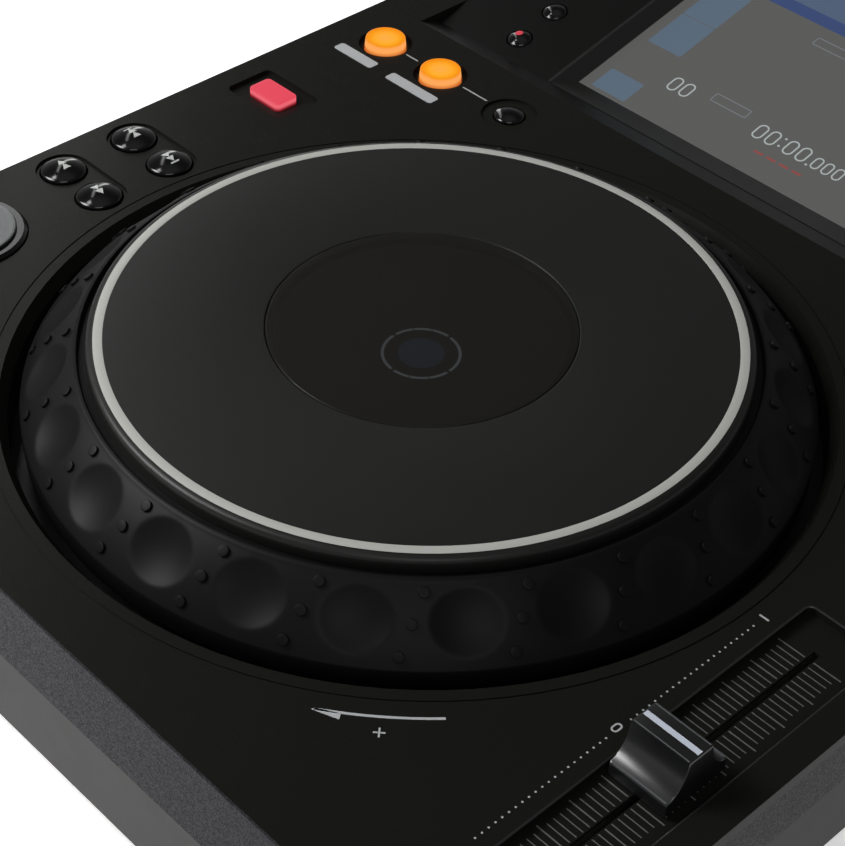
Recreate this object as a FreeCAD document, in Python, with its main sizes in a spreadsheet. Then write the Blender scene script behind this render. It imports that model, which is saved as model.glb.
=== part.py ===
import FreeCAD, Part
import math
import os
import Sketcher

# A tabletop player for music files: a flat deck with a large dimpled jog wheel, a tempo fader, a column of
# round keys and a raised, slanted panel with a recessed touch screen.
# The frame stands on the table: X to the player's right, Y away from the player, Z up. Lengths are in mm.
# Three sets of axes are used. "table" is the frame itself. "deck" has its origin on the jog wheel's axis, on
# the deck's top face. "panel" lies in the slanted panel's face, where that face crosses the deck's level.

doc = FreeCAD.newDocument("deck_player")
sizes = doc.addObject("Spreadsheet::Sheet", "sizes")

SIZES = {
    "case": {
        "case_width": 306, "case_depth": 388, "foot_rise": 9, "lower_rise": 43, "band_rise": 19,
        "shell_wall": 2.5, "deck_plate": 3.4, "front_flare": 3, "front_rim": 0.6, "lower_reveal": 1.5,
        "lower_taper": 6, "rear_bay": 9, "lower_wall": 2.6, "floor_plate": 3, "seam_rise": 0.9,
        "seam_depth": 1.4, "post_radius": 4, "screw_radius": 1.5, "screw_head": 3, "head_rise": 2,
        "screw_play": 0.2, "post_clear": 0.5, "thread_grip": 8, "pilot_end": 1, "foot_radius": 17,
        "foot_toe": 15, "foot_in_side": 38, "foot_in_end": 40, "foot_pin": 3.2, "foot_pin_rise": 1.6,
        "cut_over": 2,
    },
    "jog": {
        "jog_side": 42.4, "jog_front": 20.4, "hole_bevel": 2.2, "collar_gap": 3.4, "groove_width": 0.5,
        "groove_depth": 0.3, "dial_gap": 5.6, "dial_drop": 0.5, "dial_skirt": 6.5, "dial_wall": 3,
        "dial_bow": 60, "dial_breadth": 16.1, "crown_rise": 14.8, "crown_width": 0.6, "crown_bevel": 0.5,
        "dimple_count": 24, "dimple_start": 7.8, "dimple_ball": 28.5, "dimple_depth": 1.7, "crown_step": 2,
        "plate_rise": 17.7, "plate_thickness": 4.5, "plate_round": 1.2, "window_radius": 41,
        "window_thickness": 2.5, "window_ledge": 2.5, "window_play": 0.1, "web_bore": 50,
        "web_thickness": 3, "hub_step": 12, "hub_wall": 4, "hub_floor": 3, "sleeve_wall": 4,
        "sleeve_drop": 9.5, "bearing_wall": 4, "bearing_rise": 8, "running_gap": 0.05, "seat_gap": 0.02,
        "pillar_radius": 16, "pillar_bore": 10, "display_radius": 38, "display_rise": 8,
        "display_thickness": 5, "display_plug": 5, "well_floor": 3, "well_depth": 14.5, "well_wall": 2.4,
        "lug_radius": 5, "lug_rise": 3, "encoder_radius": 72, "encoder_band": 16, "encoder_sheet": 0.8,
        "slit_count": 60, "slit_width": 1.2, "slit_in": 8, "fork_width": 10, "fork_bite": 8,
        "fork_out": 8, "fork_mouth": 3, "fork_roof": 3, "fork_clear": 1,
    },
    "keys": {
        "key_play": 0.4, "key_travel": 1.1, "key_flange": 1.2, "flange_rise": 1.2, "flange_gap": 0.2,
        "stem_radius": 1.8, "switch_gap": 0.35, "switch_side": 6, "switch_rise": 3.5, "board_drop": 11,
        "board_sheet": 1.6, "board_edge": 8, "boss_radius": 2.5, "column_inset": 20.6, "key_pitch": 17.5,
        "play_front": 39, "cue_step": 39, "search_step": 39.8, "track_step": 26.2, "loop_short": 1.1,
        "loop_pitch": 26, "reloop_step": 31.2, "call_inset": 68.4, "call_pitch": 20, "memory_inset": 26.4,
        "cue_radius": 16.9, "cue_cap_radius": 14, "cue_proud": 1.4, "cue_cap_rise": 0.9, "cue_flange": 0.7,
        "search_radius": 6.9, "search_proud": 1.6, "search_dish": 8.3, "dish_depth": 0.8,
        "loop_radius": 6.8, "loop_proud": 2.2, "loop_well": 8.8, "well_sink": 1.5,
        "reloop_radius": 4.8, "reloop_proud": 1.2, "reloop_dish": 9, "small_radius": 4.1,
        "small_proud": 1.6, "master_radius": 5, "dome": 0.9,
        "direction_width": 14.2, "direction_depth": 8.6, "direction_corner": 2.2, "direction_side": 5.4,
        "direction_end": 4.5, "direction_proud": 1.2, "browse_width": 24, "browse_depth": 6.6,
        "browse_corner": 3, "browse_pitch": 52, "browse_end": 7.2,
    },
    "fader": {
        "fader_front": 79.7, "fader_stroke": 100, "fader_well_left": 10, "fader_well_right": 12,
        "fader_well_end": 62.4, "fader_well_depth": 2.4, "fader_well_corner": 2, "slot_width": 1.8,
        "slot_end": 1, "lever_width": 1.2, "lever_depth": 4, "cap_width": 16.7, "cap_foot": 10,
        "cap_top": 3.7, "cap_rise": 11.3, "cap_shoulder": 2.4, "cap_lift": 1, "cap_edge": 0.3,
        "cap_flare": 1.9, "flare_rise": 1.5, "cap_neck": 0.6, "neck_drop": 2.6, "rail_width": 16,
        "rail_rise": 9, "rail_wall": 2.4, "rail_end": 12, "carriage_play": 0.3, "carriage_depth": 10,
    },
    "knobs": {
        "knob_play": 0.6, "knob_gap": 0.3, "brake_radius": 6.6, "brake_rise": 9, "brake_sink": 1.2,
        "brake_taper": 0.6, "brake_round": 1, "pointer_half": 0.5, "pointer_in": 1, "pot_side": 10,
        "pot_rise": 5, "pot_shaft": 3, "selector_inset": 27, "selector_end": 34.8, "selector_radius": 14,
        "selector_rise": 17.3, "selector_lift": 1.6, "selector_bore": 3, "selector_travel": 1,
        "selector_roof": 2.5, "bush_radius": 4.5, "back_step": 36, "knob_round": 1.5,
    },
    "panel": {
        "panel_tilt": 13, "trough_step": 18.2, "trough_length": 8.7, "cross_step": 22.2,
        "panel_inset": 18, "panel_wall": 3, "panel_room": 6, "panel_top_back": 5, "panel_bevel": 5,
        "bezel_inset": 50.5, "bezel_low": -13.5, "bezel_end": 14.4, "bezel_rim": 1.1, "bezel_flange": 3,
        "bezel_lip": 1, "bezel_slope": 4.6, "screen_low": -4.2, "screen_end": 19, "screen_sink": 4.7,
        "glass_sheet": 1.8, "glass_back": 4, "lcd_depth": 6, "lcd_in": 2, "keys_inset": 28.5,
        "time_y": 12.9, "quantize_y": -4, "usb_inset": 27, "usb_end": 38.8, "usb_width": 5.1,
        "usb_length": 12.5, "usb_wall": 0.4, "usb_back": 1, "board_clear": 1, "panel_edge": 6,
        "browse_edge": 4,
    },
    "rear": {
        "jack_plate_inset": 23, "jack_plate_low": 6, "jack_plate_high": 37, "jack_sheet": 1.2,
        "jack_frame": 4, "jack_level": 22, "barrel_radius": 4.15, "barrel_length": 8.5, "barrel_bore": 1.7,
        "barrel_back": 4, "collar_rise": 2, "collar_over": 1.2, "jack_body": 12, "audio_x": -100,
        "audio_pitch": 16, "digital_x": -62, "lan_x": -34, "lan_width": 11.8, "lan_height": 7,
        "lan_depth": 13, "port_wall": 1.2, "type_b_x": -6, "type_b_width": 8.5, "type_b_height": 7.8,
        "inlet_x": 96, "inlet_width": 24.6, "inlet_height": 17, "inlet_depth": 18, "pin_length": 12,
        "pin_width": 2, "pin_height": 4, "pin_pitch": 7, "pin_step": 4, "rocker_x": 58,
        "rocker_width": 17.6, "rocker_height": 11.4, "rocker_depth": 7, "rocker_play": 0.5,
        "rocker_swing": 0.4, "rocker_lean": 8, "rocker_axle": 1.5, "rocker_house": 14,
    },
    "boards": {
        "main_inset": 31, "boards_gap": 16, "main_front": 84, "main_back": 74, "main_lift": 6,
        "main_sheet": 1.6, "standoff_radius": 3.5, "standoff_in": 8, "chip_side": 22, "chip_rise": 3,
        "chip_left": 60, "chip_middle": 20, "chip_back": 40, "chip_front": 30,
        "supply_reach": 107, "supply_inset": 25, "supply_front": 174, "supply_back": 44,
        "coil_side": 34, "coil_rise": 24, "tank_radius": 9, "tank_rise": 26, "tank_pitch": 22,
        "tank_front": 40,
    },
}
row = 0
for group in SIZES.values():
    for alias, number in group.items():
        row += 1
        sizes.set(f"A{row}", alias)
        sizes.set(f"B{row}", str(number))
        sizes.setAlias(f"B{row}", alias)
doc.recompute()

NODES = []
FRONT = "(-sizes.case_depth / 2)"
REAR = "(sizes.case_depth / 2)"
SIDE = "(sizes.case_width / 2)"
FLOOR = "sizes.foot_rise"
SPLIT = "(sizes.foot_rise + sizes.lower_rise)"
DECK = "(sizes.foot_rise + sizes.lower_rise + sizes.band_rise)"
LOWER_REAR = f"({REAR} - sizes.rear_bay)"
OVER = "sizes.cut_over"

# Radii of the wheel and its round hole, from the side of the case inwards.
HOLE = f"({SIDE} - sizes.jog_side)"
COLLAR = f"({HOLE} + sizes.collar_gap)"
DIAL = f"({HOLE} - sizes.dial_gap)"
CROWN = f"({DIAL} - sizes.dial_breadth)"
PLATE = f"({CROWN} - sizes.crown_step)"
SETBACK = f"({HOLE} + sizes.jog_front)"
HUB = "(sizes.encoder_radius - sizes.hub_step)"
JOG_Y = f"({FRONT} + {SETBACK})"

# Levels under the deck's or the panel's face.
UNDER = "(-sizes.deck_plate)"
CUT_LOW = f"({UNDER} - {OVER})"
WEB_TOP = "(sizes.plate_rise - sizes.plate_thickness)"
WEB_LOW = f"({WEB_TOP} - sizes.web_thickness)"
WELL_TOP = "(-sizes.well_depth)"
BOARD_TOP = "(-sizes.board_drop)"
SWITCH_TOP = f"({BOARD_TOP} + sizes.switch_rise)"
STEM_LOW = f"({SWITCH_TOP} + sizes.key_travel + sizes.switch_gap)"
FLANGE_TOP = "(-sizes.deck_plate - sizes.flange_gap)"
FLANGE_LOW = f"({FLANGE_TOP} - sizes.flange_rise)"
PANEL_SKIN = "(-sizes.panel_wall)"

# Columns and rows of keys, in the deck's axes.
LEFT = f"(-({SIDE} - sizes.column_inset))"
RIGHT = f"({SIDE} - sizes.column_inset)"
PLAY_Y = f"(sizes.play_front - {SETBACK})"
CUE_Y = f"({PLAY_Y} + sizes.cue_step)"
SEARCH_Y = f"({CUE_Y} + sizes.search_step)"
TRACK_Y = f"({SEARCH_Y} + sizes.track_step)"
LOOP_Y = f"({HOLE} - sizes.loop_short)"
DIRECTION_Y = f"(({TRACK_Y} + {LOOP_Y}) / 2)"
OUT_X = f"({LEFT} + sizes.loop_pitch)"
RELOOP_X = f"({OUT_X} + sizes.reloop_step)"
CALL_X = f"({RIGHT} - sizes.call_inset)"
MEMORY_X = f"({RIGHT} - sizes.memory_inset)"
FADER_Y = f"(sizes.fader_front - {SETBACK})"
FADER_TOP = f"({FADER_Y} + sizes.fader_well_end)"
COLUMN_STEP = f"(({LOOP_Y} - {FADER_TOP}) / 4)"
MASTER_Y = f"({FADER_TOP} + {COLUMN_STEP})"
RANGE_Y = f"({FADER_TOP} + 2 * {COLUMN_STEP})"
MODE_Y = f"({FADER_TOP} + 3 * {COLUMN_STEP})"

# The slanted panel: where it starts in the deck's axes, and its own columns and rows.
TROUGH_Y = f"({LOOP_Y} + sizes.trough_step)"
CROSS_Y = f"({JOG_Y} + {TROUGH_Y} + sizes.cross_step)"
PANEL_HALF = f"({SIDE} - sizes.panel_inset)"
CREST = f"(({REAR} - sizes.panel_top_back - {CROSS_Y}) / cos(sizes.panel_tilt))"
BEZEL_HALF = f"({PANEL_HALF} - sizes.bezel_inset)"
BEZEL_HIGH = f"({CREST} - sizes.bezel_end)"
SCREEN_HALF = f"({BEZEL_HALF} - sizes.bezel_slope)"
SCREEN_HIGH = f"({CREST} - sizes.screen_end)"
KEYS_X = f"({PANEL_HALF} - sizes.keys_inset)"
BROWSE_Y = f"({CREST} - sizes.browse_end)"
SELECTOR_X = f"({PANEL_HALF} - sizes.selector_inset)"
SELECTOR_Y = f"({CREST} - sizes.selector_end)"
BACK_Y = f"({SELECTOR_Y} - sizes.back_step)"
USB_X = f"(-({PANEL_HALF} - sizes.usb_inset))"
USB_Y = f"({CREST} - sizes.usb_end)"


def value(expression):
    """The number that an expression over the sheet comes to."""
    return float(sizes.evalExpression(str(expression)))


def tie(thing, **bonds):
    """Bind properties to expressions; a double underscore stands for a dot."""
    for path, expression in bonds.items():
        thing.setExpression(path.replace("__", "."), str(expression))
    return thing


def put(thing, axes, x, y, z, turn="0"):
    """Place a thing at a point of one of the three sets of axes, turned about X by an angle more."""
    if axes == "panel":
        lean = f"({turn}) + sizes.panel_tilt"
        across = f"{CROSS_Y} + ({y}) * cos(sizes.panel_tilt) - ({z}) * sin(sizes.panel_tilt)"
        up = f"{DECK} + ({y}) * sin(sizes.panel_tilt) + ({z}) * cos(sizes.panel_tilt)"
    elif axes == "deck":
        lean, across, up = turn, f"{JOG_Y} + ({y})", f"{DECK} + ({z})"
    else:
        lean, across, up = turn, y, z
    if lean != "0":
        rotation = FreeCAD.Rotation(FreeCAD.Vector(1, 0, 0), value(lean))
        thing.Placement = FreeCAD.Placement(FreeCAD.Vector(), rotation)
        tie(thing, Placement__Rotation__Angle=lean)
    return tie(thing, Placement__Base__x=x, Placement__Base__y=across, Placement__Base__z=up)


def box(axes, x0, x1, y0, y1, z0, z1):
    """A block between two corners."""
    block = doc.addObject("Part::Box", "box")
    tie(block, Length=f"({x1}) - ({x0})", Width=f"({y1}) - ({y0})", Height=f"({z1}) - ({z0})")
    return put(block, axes, x0, y0, z0)


def rod(axes, x, y, z0, z1, radius):
    """An upright cylinder."""
    cylinder = doc.addObject("Part::Cylinder", "rod")
    tie(cylinder, Radius=radius, Height=f"({z1}) - ({z0})")
    return put(cylinder, axes, x, y, z0)


def back_rod(x, y0, y1, z, radius):
    """A cylinder lying along Y, from y0 back to y1, in the table's axes."""
    cylinder = doc.addObject("Part::Cylinder", "rod")
    tie(cylinder, Radius=radius, Height=f"({y1}) - ({y0})")
    return put(cylinder, "table", x, y1, z, "90")


def cone(axes, x, y, z0, z1, radius0, radius1):
    """An upright cone, radius0 at its foot."""
    taper = doc.addObject("Part::Cone", "cone")
    tie(taper, Radius1=radius0, Radius2=radius1, Height=f"({z1}) - ({z0})")
    return put(taper, axes, x, y, z0)


def frustum(axes, low, high, z0, z1):
    """A block whose foot and head are two rectangles, each x0, x1, y0, y1."""
    wedge = doc.addObject("Part::Wedge", "frustum")
    tie(wedge, Ymin=z0, Ymax=z1, Xmin=low[0], Xmax=low[1], X2min=high[0], X2max=high[1])
    tie(wedge, Zmin=f"-({low[3]})", Zmax=f"-({low[2]})", Z2min=f"-({high[3]})", Z2max=f"-({high[2]})")
    return put(wedge, axes, "0", "0", "0", "90")


def fuse(*things):
    """One solid out of several that touch, or a group of those that don't."""
    union = doc.addObject("Part::MultiFuse", "union")
    union.Shapes = list(things)
    return union


def cut(base, *tools):
    """The base without the tools."""
    result = doc.addObject("Part::Cut", "cut")
    result.Base = base
    result.Tool = tools[0] if len(tools) == 1 else fuse(*tools)
    return result


def node(name, thing):
    """Give a finished sub-part its name."""
    thing.Label = name
    NODES.append(thing)
    return thing


def plane_of(body, role):
    """One of a body's origin planes or axes."""
    return [feature for feature in body.Origin.OriginFeatures if feature.Role == role][0]


def outline_sketch(body, role, outline):
    """A closed outline of (across, up) points on a plane of a body, in counter-clockwise order.

    A third value is the radius of the arc, bulging outwards, that runs on to the next point."""
    sketch = body.newObject("Sketcher::SketchObject", "outline")
    sketch.AttachmentSupport = [(plane_of(body, role), "")]
    sketch.MapMode = "FlatFace"
    places = [FreeCAD.Vector(value(point[0]), value(point[1]), 0) for point in outline]
    ends = []
    for index, point in enumerate(outline):
        start = places[index]
        stop = places[(index + 1) % len(places)]
        if len(point) < 3:
            ends.append(sketch.addGeometry(Part.LineSegment(start, stop), False))
            continue
        radius = value(point[2])
        half = (stop - start) / 2
        inward = FreeCAD.Vector(-half.y, half.x, 0).normalize()
        centre = (start + stop) / 2 + inward * math.sqrt(radius ** 2 - half.Length ** 2)
        first = math.atan2(start.y - centre.y, start.x - centre.x)
        last = math.atan2(stop.y - centre.y, stop.x - centre.x)
        circle = Part.Circle(centre, FreeCAD.Vector(0, 0, 1), radius)
        edge = sketch.addGeometry(Part.ArcOfCircle(circle, first, last), False)
        bend = sketch.addConstraint(Sketcher.Constraint("Radius", edge, radius))
        sketch.setExpression(f"Constraints[{bend}]", str(point[2]))
        ends.append(edge)
    for index, edge in enumerate(ends):
        following = ends[(index + 1) % len(ends)]
        sketch.addConstraint(Sketcher.Constraint("Coincident", edge, 2, following, 1))
    for edge, point, place in zip(ends, outline, places):
        for kind, number, expression in (("DistanceX", place.x, point[0]), ("DistanceY", place.y, point[1])):
            constraint = sketch.addConstraint(Sketcher.Constraint(kind, -1, 1, edge, 1, number))
            if str(expression) != "0":
                sketch.setExpression(f"Constraints[{constraint}]", str(expression))
    return sketch


def turned(axes, x, y, z, outline):
    """A body turned about its own Z axis from a half section."""
    body = doc.addObject("PartDesign::Body", "turned")
    sketch = outline_sketch(body, "XZ_Plane", outline)
    revolution = body.newObject("PartDesign::Revolution", "revolution")
    revolution.Profile = sketch
    revolution.ReferenceAxis = (sketch, ["V_Axis"])
    revolution.Angle = 360
    body.Tip = revolution
    return put(body, axes, x, y, z)


def slab(axes, x, y, z0, z1, width, depth, corner):
    """A plate centred on a point, with round corners."""
    body = doc.addObject("PartDesign::Body", "slab")
    half_x, half_y = f"({width}) / 2", f"({depth}) / 2"
    corners = [(f"-{half_x}", f"-{half_y}"), (half_x, f"-{half_y}"), (half_x, half_y),
               (f"-{half_x}", half_y)]
    pad = body.newObject("PartDesign::Pad", "pad")
    pad.Profile = outline_sketch(body, "XY_Plane", corners)
    tie(pad, Length=f"({z1}) - ({z0})")
    doc.recompute()
    upright = [f"Edge{index + 1}" for index, edge in enumerate(pad.Shape.Edges)
               if abs(edge.tangentAt(edge.FirstParameter).z) > 0.99]
    fillet = body.newObject("PartDesign::Fillet", "fillet")
    fillet.Base = (pad, upright)
    tie(fillet, Radius=corner)
    body.Tip = fillet
    return put(body, axes, x, y, z0)


def side_profile(x0, x1, outline):
    """A bar along X between x0 and x1 whose section is an outline in the table's (y, z)."""
    body = doc.addObject("PartDesign::Body", "profile")
    pad = body.newObject("PartDesign::Pad", "pad")
    pad.Profile = outline_sketch(body, "YZ_Plane", outline)
    tie(pad, Length=f"({x1}) - ({x0})")
    body.Tip = pad
    return put(body, "table", x0, "0", "0")


def dome_radius(radius, rise):
    """The radius of the arc over a cap of a radius and rise."""
    return f"(({radius}) ^ 2 + ({rise}) ^ 2) / (2 * ({rise}))"


def round_key(name, axes, x, y, radius, proud, dome="sizes.dome"):
    """A round key: stem, retaining flange under the plate and a domed cap through its hole."""
    flange = f"{radius} + sizes.key_flange"
    outline = [("0", STEM_LOW), ("sizes.stem_radius", STEM_LOW), ("sizes.stem_radius", FLANGE_LOW),
               (flange, FLANGE_LOW), (flange, FLANGE_TOP), (radius, FLANGE_TOP),
               (radius, f"{proud} - {dome}", dome_radius(radius, dome)), ("0", proud)]
    return node(name, turned(axes, x, y, "0", outline))


def slab_key(name, axes, x, y, width, depth, corner, proud):
    """A key with straight sides: stem, flange and a cap with round corners."""
    wide = f"{width} + 2 * sizes.key_flange"
    deep = f"{depth} + 2 * sizes.key_flange"
    cap = slab(axes, x, y, FLANGE_TOP, proud, width, depth, corner)
    flange = slab(axes, x, y, FLANGE_LOW, FLANGE_TOP, wide, deep, corner)
    stem = rod(axes, x, y, STEM_LOW, FLANGE_LOW, "sizes.stem_radius")
    return node(name, fuse(cap, flange, stem))


def board(axes, blocks, switches, *parts):
    """A printed board of one or more blocks (x0, x1, y0, y1) with a push switch under each key."""
    pieces = [box(axes, *block, f"{BOARD_TOP} - sizes.board_sheet", BOARD_TOP) for block in blocks]
    half = "sizes.switch_side / 2"
    for x, y in switches:
        pieces.append(box(axes, f"{x} - {half}", f"{x} + {half}", f"{y} - {half}", f"{y} + {half}",
                          BOARD_TOP, SWITCH_TOP))
    return fuse(*pieces, *parts)


# Keys on the deck: name, x, y, cap radius, height above the deck, and the dish or well around it with its
# depth. The pairs of search keys share a long dish, cut apart from these.
TRACK_X = (f"{LEFT} - sizes.key_pitch / 2", f"{LEFT} + sizes.key_pitch / 2")
DISHED = ("sizes.search_radius", "sizes.search_proud", None)
LIT = ("sizes.loop_radius", "sizes.loop_proud", ("sizes.loop_well", "sizes.well_sink"))
SMALL = ("sizes.small_radius", "sizes.small_proud", None)
DECK_KEYS = [
    ("track_back_button", TRACK_X[0], TRACK_Y, *DISHED),
    ("track_forward_button", TRACK_X[1], TRACK_Y, *DISHED),
    ("search_back_button", TRACK_X[0], SEARCH_Y, *DISHED),
    ("search_forward_button", TRACK_X[1], SEARCH_Y, *DISHED),
    ("loop_in_button", LEFT, LOOP_Y, *LIT),
    ("loop_out_button", OUT_X, LOOP_Y, *LIT),
    ("reloop_button", RELOOP_X, LOOP_Y, "sizes.reloop_radius", "sizes.reloop_proud",
     ("sizes.reloop_dish", "sizes.dish_depth")),
    ("call_back_button", CALL_X, LOOP_Y, *SMALL),
    ("call_forward_button", f"{CALL_X} + sizes.call_pitch", LOOP_Y, *SMALL),
    ("memory_button", MEMORY_X, LOOP_Y, *SMALL),
    ("jog_mode_button", RIGHT, MODE_Y, *SMALL),
    ("tempo_range_button", RIGHT, RANGE_Y, *SMALL),
    ("master_tempo_button", RIGHT, MASTER_Y, "sizes.master_radius", "sizes.small_proud", None),
]
BIG_KEYS = [("cue", CUE_Y), ("play", PLAY_Y)]
PANEL_KEYS = [("quantize_button", f"-{KEYS_X}", "sizes.quantize_y"),
              ("time_mode_button", f"-{KEYS_X}", "sizes.time_y"),
              ("back_button", SELECTOR_X, BACK_Y)]
BROWSE_KEYS = [("browse_left_button", "-sizes.browse_pitch"), ("browse_middle_button", "0"),
               ("browse_right_button", "sizes.browse_pitch")]


def posts():
    """The six places of the case screws, as (x, y) in the table's axes."""
    inward = "(sizes.lower_reveal + sizes.lower_taper + sizes.post_radius + sizes.post_clear)"
    across = f"({SIDE} - {inward})"
    back = f"({LOWER_REAR} - sizes.lower_wall - sizes.post_radius - sizes.post_clear)"
    middle = f"({JOG_Y} + {TROUGH_Y} - sizes.post_radius - sizes.post_clear)"
    along = [f"({FRONT} + {inward})", middle, back]
    return [(f"{sign}{across}", y) for y in along for sign in ("-", "")]


def bosses():
    """Where bosses under the deck meet the key boards, as (x, y) in the deck's axes."""
    def between(first, second):
        return f"(({first}) + ({second})) / 2"

    return [(LEFT, between(SEARCH_Y, TRACK_Y)), (LEFT, between(TRACK_Y, DIRECTION_Y)),
            (between(LEFT, OUT_X), LOOP_Y), (between(OUT_X, RELOOP_X), LOOP_Y),
            (between(f"{CALL_X} + sizes.call_pitch", MEMORY_X), LOOP_Y), (RIGHT, between(RANGE_Y, MASTER_Y))]


def feet_places():
    """The four places of the feet."""
    across = f"({SIDE} - sizes.foot_in_side)"
    along = f"({REAR} - sizes.foot_in_end)"
    return [(f"{left}{across}", f"{near}{along}") for left in ("-", "") for near in ("-", "")]


# The wheel: a dimpled dial on a web, a touch plate with a window, and a cup-shaped hub that turns on the
# fixed pillar under the display.

def jog_dial():
    chord = "sqrt(sizes.dial_breadth ^ 2 + (sizes.crown_rise + sizes.dial_drop) ^ 2)"
    inner = f"({DIAL} - sizes.dial_wall)"
    crown = f"({CROWN} + sizes.crown_bevel)"
    shoulder = f"({crown} + sizes.crown_width)"
    skirt = "(-sizes.dial_drop - sizes.dial_skirt)"
    outline = [("sizes.web_bore", WEB_LOW), (crown, WEB_LOW), (inner, "-sizes.dial_wall / 2"),
               (inner, skirt), (DIAL, skirt), (DIAL, "-sizes.dial_drop", "sizes.dial_bow"),
               (shoulder, "sizes.crown_rise"),
               (crown, "sizes.crown_rise"), (CROWN, "sizes.crown_rise - sizes.crown_bevel"),
               (CROWN, WEB_TOP), ("sizes.web_bore", WEB_TOP)]
    body = turned("deck", "0", "0", "0", outline)
    doc.recompute()
    ball = body.newObject("PartDesign::SubtractiveSphere", "dimple")
    reach = f"(sizes.dimple_ball - sizes.dimple_depth + {chord} ^ 2 / (8 * sizes.dial_bow))"
    away = f"(({DIAL} + {CROWN}) / 2 + {reach} * (sizes.crown_rise + sizes.dial_drop) / {chord})"
    middle_z = "(sizes.crown_rise - sizes.dial_drop) / 2"
    tie(ball, Radius="sizes.dimple_ball")
    ball.AttachmentSupport = [(plane_of(body, "XY_Plane"), "")]
    ball.MapMode = "FlatFace"
    tie(ball, AttachmentOffset__Base__x=f"{away} * cos(sizes.dimple_start)",
        AttachmentOffset__Base__y=f"{away} * sin(sizes.dimple_start)",
        AttachmentOffset__Base__z=f"{middle_z} + {reach} * sizes.dial_breadth / {chord}")
    ring = body.newObject("PartDesign::PolarPattern", "dimples")
    ring.Originals = [ball]
    ring.Axis = (plane_of(body, "Z_Axis"), [""])
    tie(ring, Occurrences="sizes.dimple_count")
    body.Tip = ring
    node("jog_dial", body)


def jog_plate():
    ledge = "(sizes.window_radius - sizes.window_ledge)"
    step = "(sizes.plate_rise - sizes.window_thickness)"
    outline = [(ledge, WEB_TOP), (PLATE, WEB_TOP),
               (PLATE, "sizes.plate_rise - sizes.plate_round", "sizes.plate_round"),
               (f"{PLATE} - sizes.plate_round", "sizes.plate_rise"),
               ("sizes.window_radius", "sizes.plate_rise"), ("sizes.window_radius", step), (ledge, step)]
    node("jog_plate", turned("deck", "0", "0", "0", outline))
    clear = "sizes.window_radius - sizes.window_play"
    node("jog_window", rod("deck", "0", "0", step, "sizes.plate_rise", clear))


def jog_hub():
    bearing_bore = "(sizes.pillar_radius + sizes.running_gap)"
    bearing_out = "(sizes.pillar_radius + sizes.bearing_wall)"
    bore = f"({bearing_out} + sizes.seat_gap)"
    sleeve = f"({bore} + sizes.sleeve_wall)"
    low = "(-sizes.hub_floor - sizes.sleeve_drop)"
    cup = f"({HUB} - sizes.hub_wall)"
    outline = [(bore, low), (sleeve, low), (sleeve, "-sizes.hub_floor"),
               (HUB, "-sizes.hub_floor"), (HUB, WEB_LOW), (cup, WEB_LOW),
               (cup, "0"), (bore, "0")]
    node("jog_hub", turned("deck", "0", "0", "0", outline))
    foot = f"({low} + sizes.running_gap)"
    node("jog_bearing", turned("deck", "0", "0", "0", [
        (bearing_bore, foot), (bearing_out, foot), (bearing_out, f"{foot} + sizes.bearing_rise"),
        (bearing_bore, f"{foot} + sizes.bearing_rise")]))


def encoder_disc():
    inner = "(sizes.encoder_radius - sizes.encoder_band)"
    body = turned("deck", "0", "0", "-sizes.hub_floor - sizes.encoder_sheet", [
        (inner, "0"), ("sizes.encoder_radius", "0"),
        ("sizes.encoder_radius", "sizes.encoder_sheet"), (inner, "sizes.encoder_sheet")])
    doc.recompute()
    near, far = "(sizes.encoder_radius - sizes.slit_in)", "(sizes.encoder_radius - 2 * sizes.slit_width)"
    half = "sizes.slit_width / 2"
    slit = body.newObject("PartDesign::Pocket", "slit")
    slit.Profile = outline_sketch(body, "XY_Plane", [(near, f"-{half}"), (far, f"-{half}"), (far, half),
                                                     (near, half)])
    slit.SideType = "Symmetric"
    tie(slit, Length="4 * sizes.encoder_sheet")
    ring = body.newObject("PartDesign::PolarPattern", "slits")
    ring.Originals = [slit]
    ring.Axis = (plane_of(body, "Z_Axis"), [""])
    tie(ring, Occurrences="sizes.slit_count")
    body.Tip = ring
    node("encoder_disc", body)


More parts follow.
